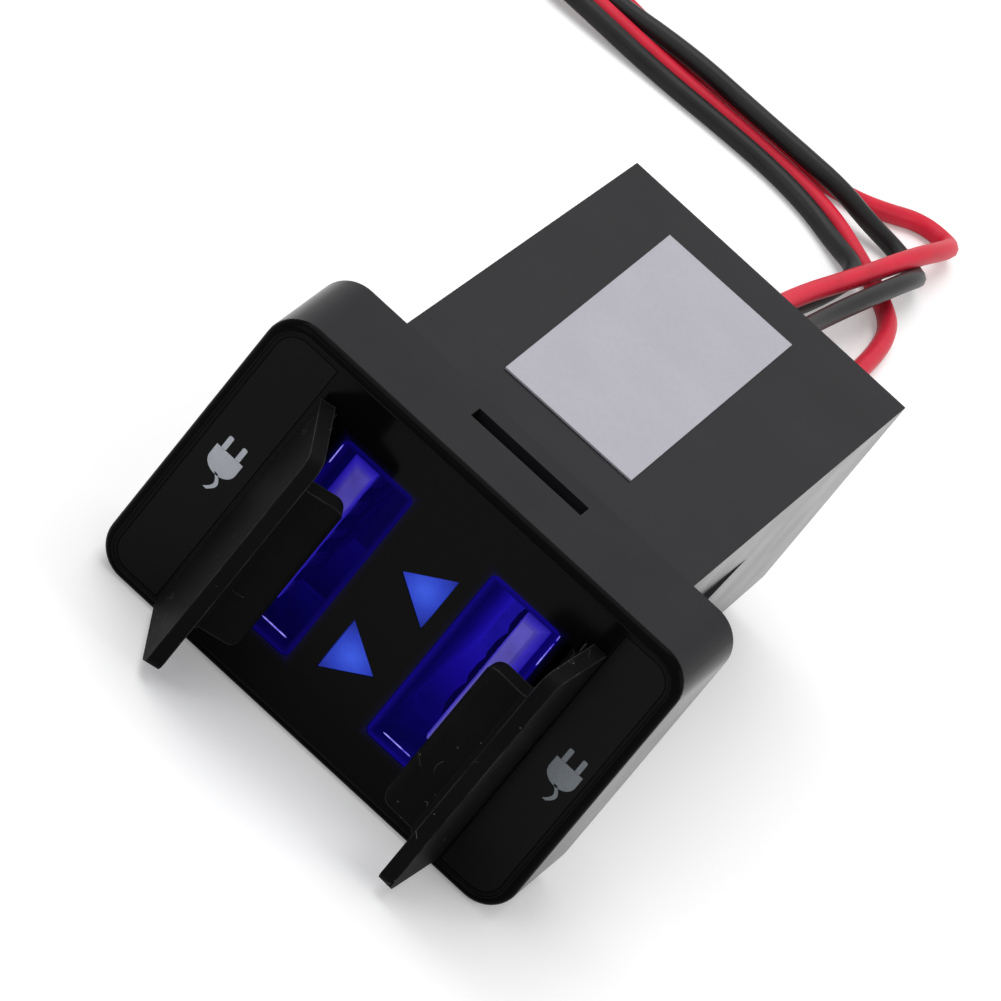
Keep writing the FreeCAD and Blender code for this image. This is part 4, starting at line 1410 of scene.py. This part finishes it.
@dataclass
class Studio:
    """White table and soft lights, with the camera where the photograph's stood."""

    camera_place: Point = (77.854, -739.243, 426.92)  # mm, row frame
    right: Point = (0.73384, 0.392, 0.5548)
    down: Point = (0.6729, -0.30743, -0.67283)
    forward: Point = (-0.09319, 0.86708, -0.48938)
    lens: float = 499.3
    sensor: float = 36.0
    clip: tuple[float, float] = (0.05, 20.0)  # m
    table_half: float = 3.0  # m
    table_lit: str = "#e6e6e6"  # the table as it lights the object
    table_seen: str = "#f4f4f4"
    table_lift: float = 0.22
    sky_lit: float = 0.4
    sky_seen: float = 1.0
    aim: Point = (0.0, 0.0, 0.01)  # m
    lamps: tuple[Lamp, ...] = (
        Lamp("top_softbox", (-0.25, 0.15, 0.9), 0.8, 5.5),
        Lamp("right_softbox", (0.9, 0.1, 0.45), 0.7, 2.5),
        Lamp("front_fill", (-0.5, -0.9, 0.6), 0.7, 2.5),
    )

    def stand_camera(self) -> None:
        """Stand the camera up with a long lens and the photograph's roll."""
        data = bpy.data.cameras.new("camera")
        data.lens = self.lens
        data.sensor_width = self.sensor
        data.sensor_fit = "HORIZONTAL"
        data.clip_start, data.clip_end = self.clip
        camera = bpy.data.objects.new("camera", data)
        bpy.context.scene.collection.objects.link(camera)
        axes = np.eye(4)
        axes[:3, 0] = self.right
        axes[:3, 1] = -np.array(self.down)
        axes[:3, 2] = -np.array(self.forward)
        axes[:3, 3] = np.array(self.camera_place) * MM
        camera.matrix_world = Matrix(axes.tolist())
        bpy.context.scene.camera = camera

    def lay_table(self) -> None:
        """Lay the white table: seen as white, and shaded by the object's shadow."""
        size = self.table_half
        mesh = bpy.data.meshes.new("table")
        corners = [(-size, -size, 0), (size, -size, 0), (size, size, 0), (-size, size, 0)]
        mesh.from_pydata(corners, [], [(0, 1, 2, 3)])
        table = bpy.data.objects.new("table", mesh)
        bpy.context.scene.collection.objects.link(table)
        material = bpy.data.materials.new("white_table")
        material.use_nodes = True
        tree = material.node_tree
        tree.nodes.clear()
        lit = add(tree, "BsdfDiffuse", {"Color": linear(self.table_lit)})
        bright = add(tree, "BsdfDiffuse", {"Color": linear(self.table_seen)})
        lift = add(tree, "Emission", {"Color": linear("#ffffff"), "Strength": self.table_lift})
        seen = add(tree, "AddShader", {0: bright, 1: lift})
        mix = add(tree, "MixShader", {0: seen_straight(tree), 1: lit, 2: seen})
        add(tree, "OutputMaterial", {"Surface": mix})
        mesh.materials.append(material)

    def light_world(self) -> None:
        """Give a white background to the eye and an even, plain light to the object."""
        world = bpy.data.worlds.new("studio")
        bpy.context.scene.world = world
        world.use_nodes = True
        tree = world.node_tree
        tree.nodes.clear()
        lit = add(tree, "Background", {"Color": linear("#ffffff"), "Strength": self.sky_lit})
        seen = add(tree, "Background", {"Color": linear("#ffffff"), "Strength": self.sky_seen})
        mix = add(tree, "MixShader", {0: seen_straight(tree), 1: lit, 2: seen})
        add(tree, "OutputWorld", {"Surface": mix})

    def hang_lamps(self) -> None:
        """Hang the soft lamps: one over the table, one at the right and one at the left front."""
        for lamp in self.lamps:
            data = bpy.data.lights.new(lamp.name, "AREA")
            data.size = lamp.size
            data.energy = lamp.power
            light = bpy.data.objects.new(lamp.name, data)
            bpy.context.scene.collection.objects.link(light)
            way = Vector(self.aim) - Vector(lamp.place)
            light.rotation_euler = way.to_track_quat("-Z", "Y").to_euler()
            light.location = lamp.place

    def build(self) -> None:
        """Set up camera, table, world and lamps."""
        self.stand_camera()
        self.lay_table()
        self.light_world()
        self.hang_lamps()
        bpy.context.scene.view_settings.view_transform = "Standard"


def main() -> None:
    """Dress the socket and light it."""
    logging.basicConfig(level=logging.INFO, format="%(message)s")
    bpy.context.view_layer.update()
    finishes = Finishes()
    finishes.build()
    finishes.dress_nodes()
    # Painted glints: glowing strips where the liners' edges and floors show highlights.
    right_glints = (
        Bar((4.09, 0.18, -6.72), (6.36, 0.18, -6.72), 0.065),
        Bar((8.7, -0.57, 6.28), (8.7, -0.57, 4.28), 0.036),
        Bar((8.7, -0.57, 7.0), (8.7, -0.57, 6.5), 0.034),
    )
    left_glints = (
        Bar((-6.13, 0.62, -6.7), (-4.08, 0.62, -6.7), 0.062),
        Bar((-8.68, -0.57, 6.57), (-8.68, -0.57, 4.98), 0.036),
    )
    for assembly in (
        LeadLoom(finishes),
        Port(finishes, Side.RIGHT, right_glints),
        Port(finishes, Side.LEFT, left_glints),
        PlugMark(finishes, Side.LEFT, -13.6),
        PlugMark(finishes, Side.RIGHT, 14.2),
        RimLip(finishes),
        GlossCoat(finishes),
    ):
        for piece in assembly.build():
            LOG.info("%s: %s", type(assembly).__name__, piece.name)
    Studio().build()


if __name__ == "__main__":
    main()
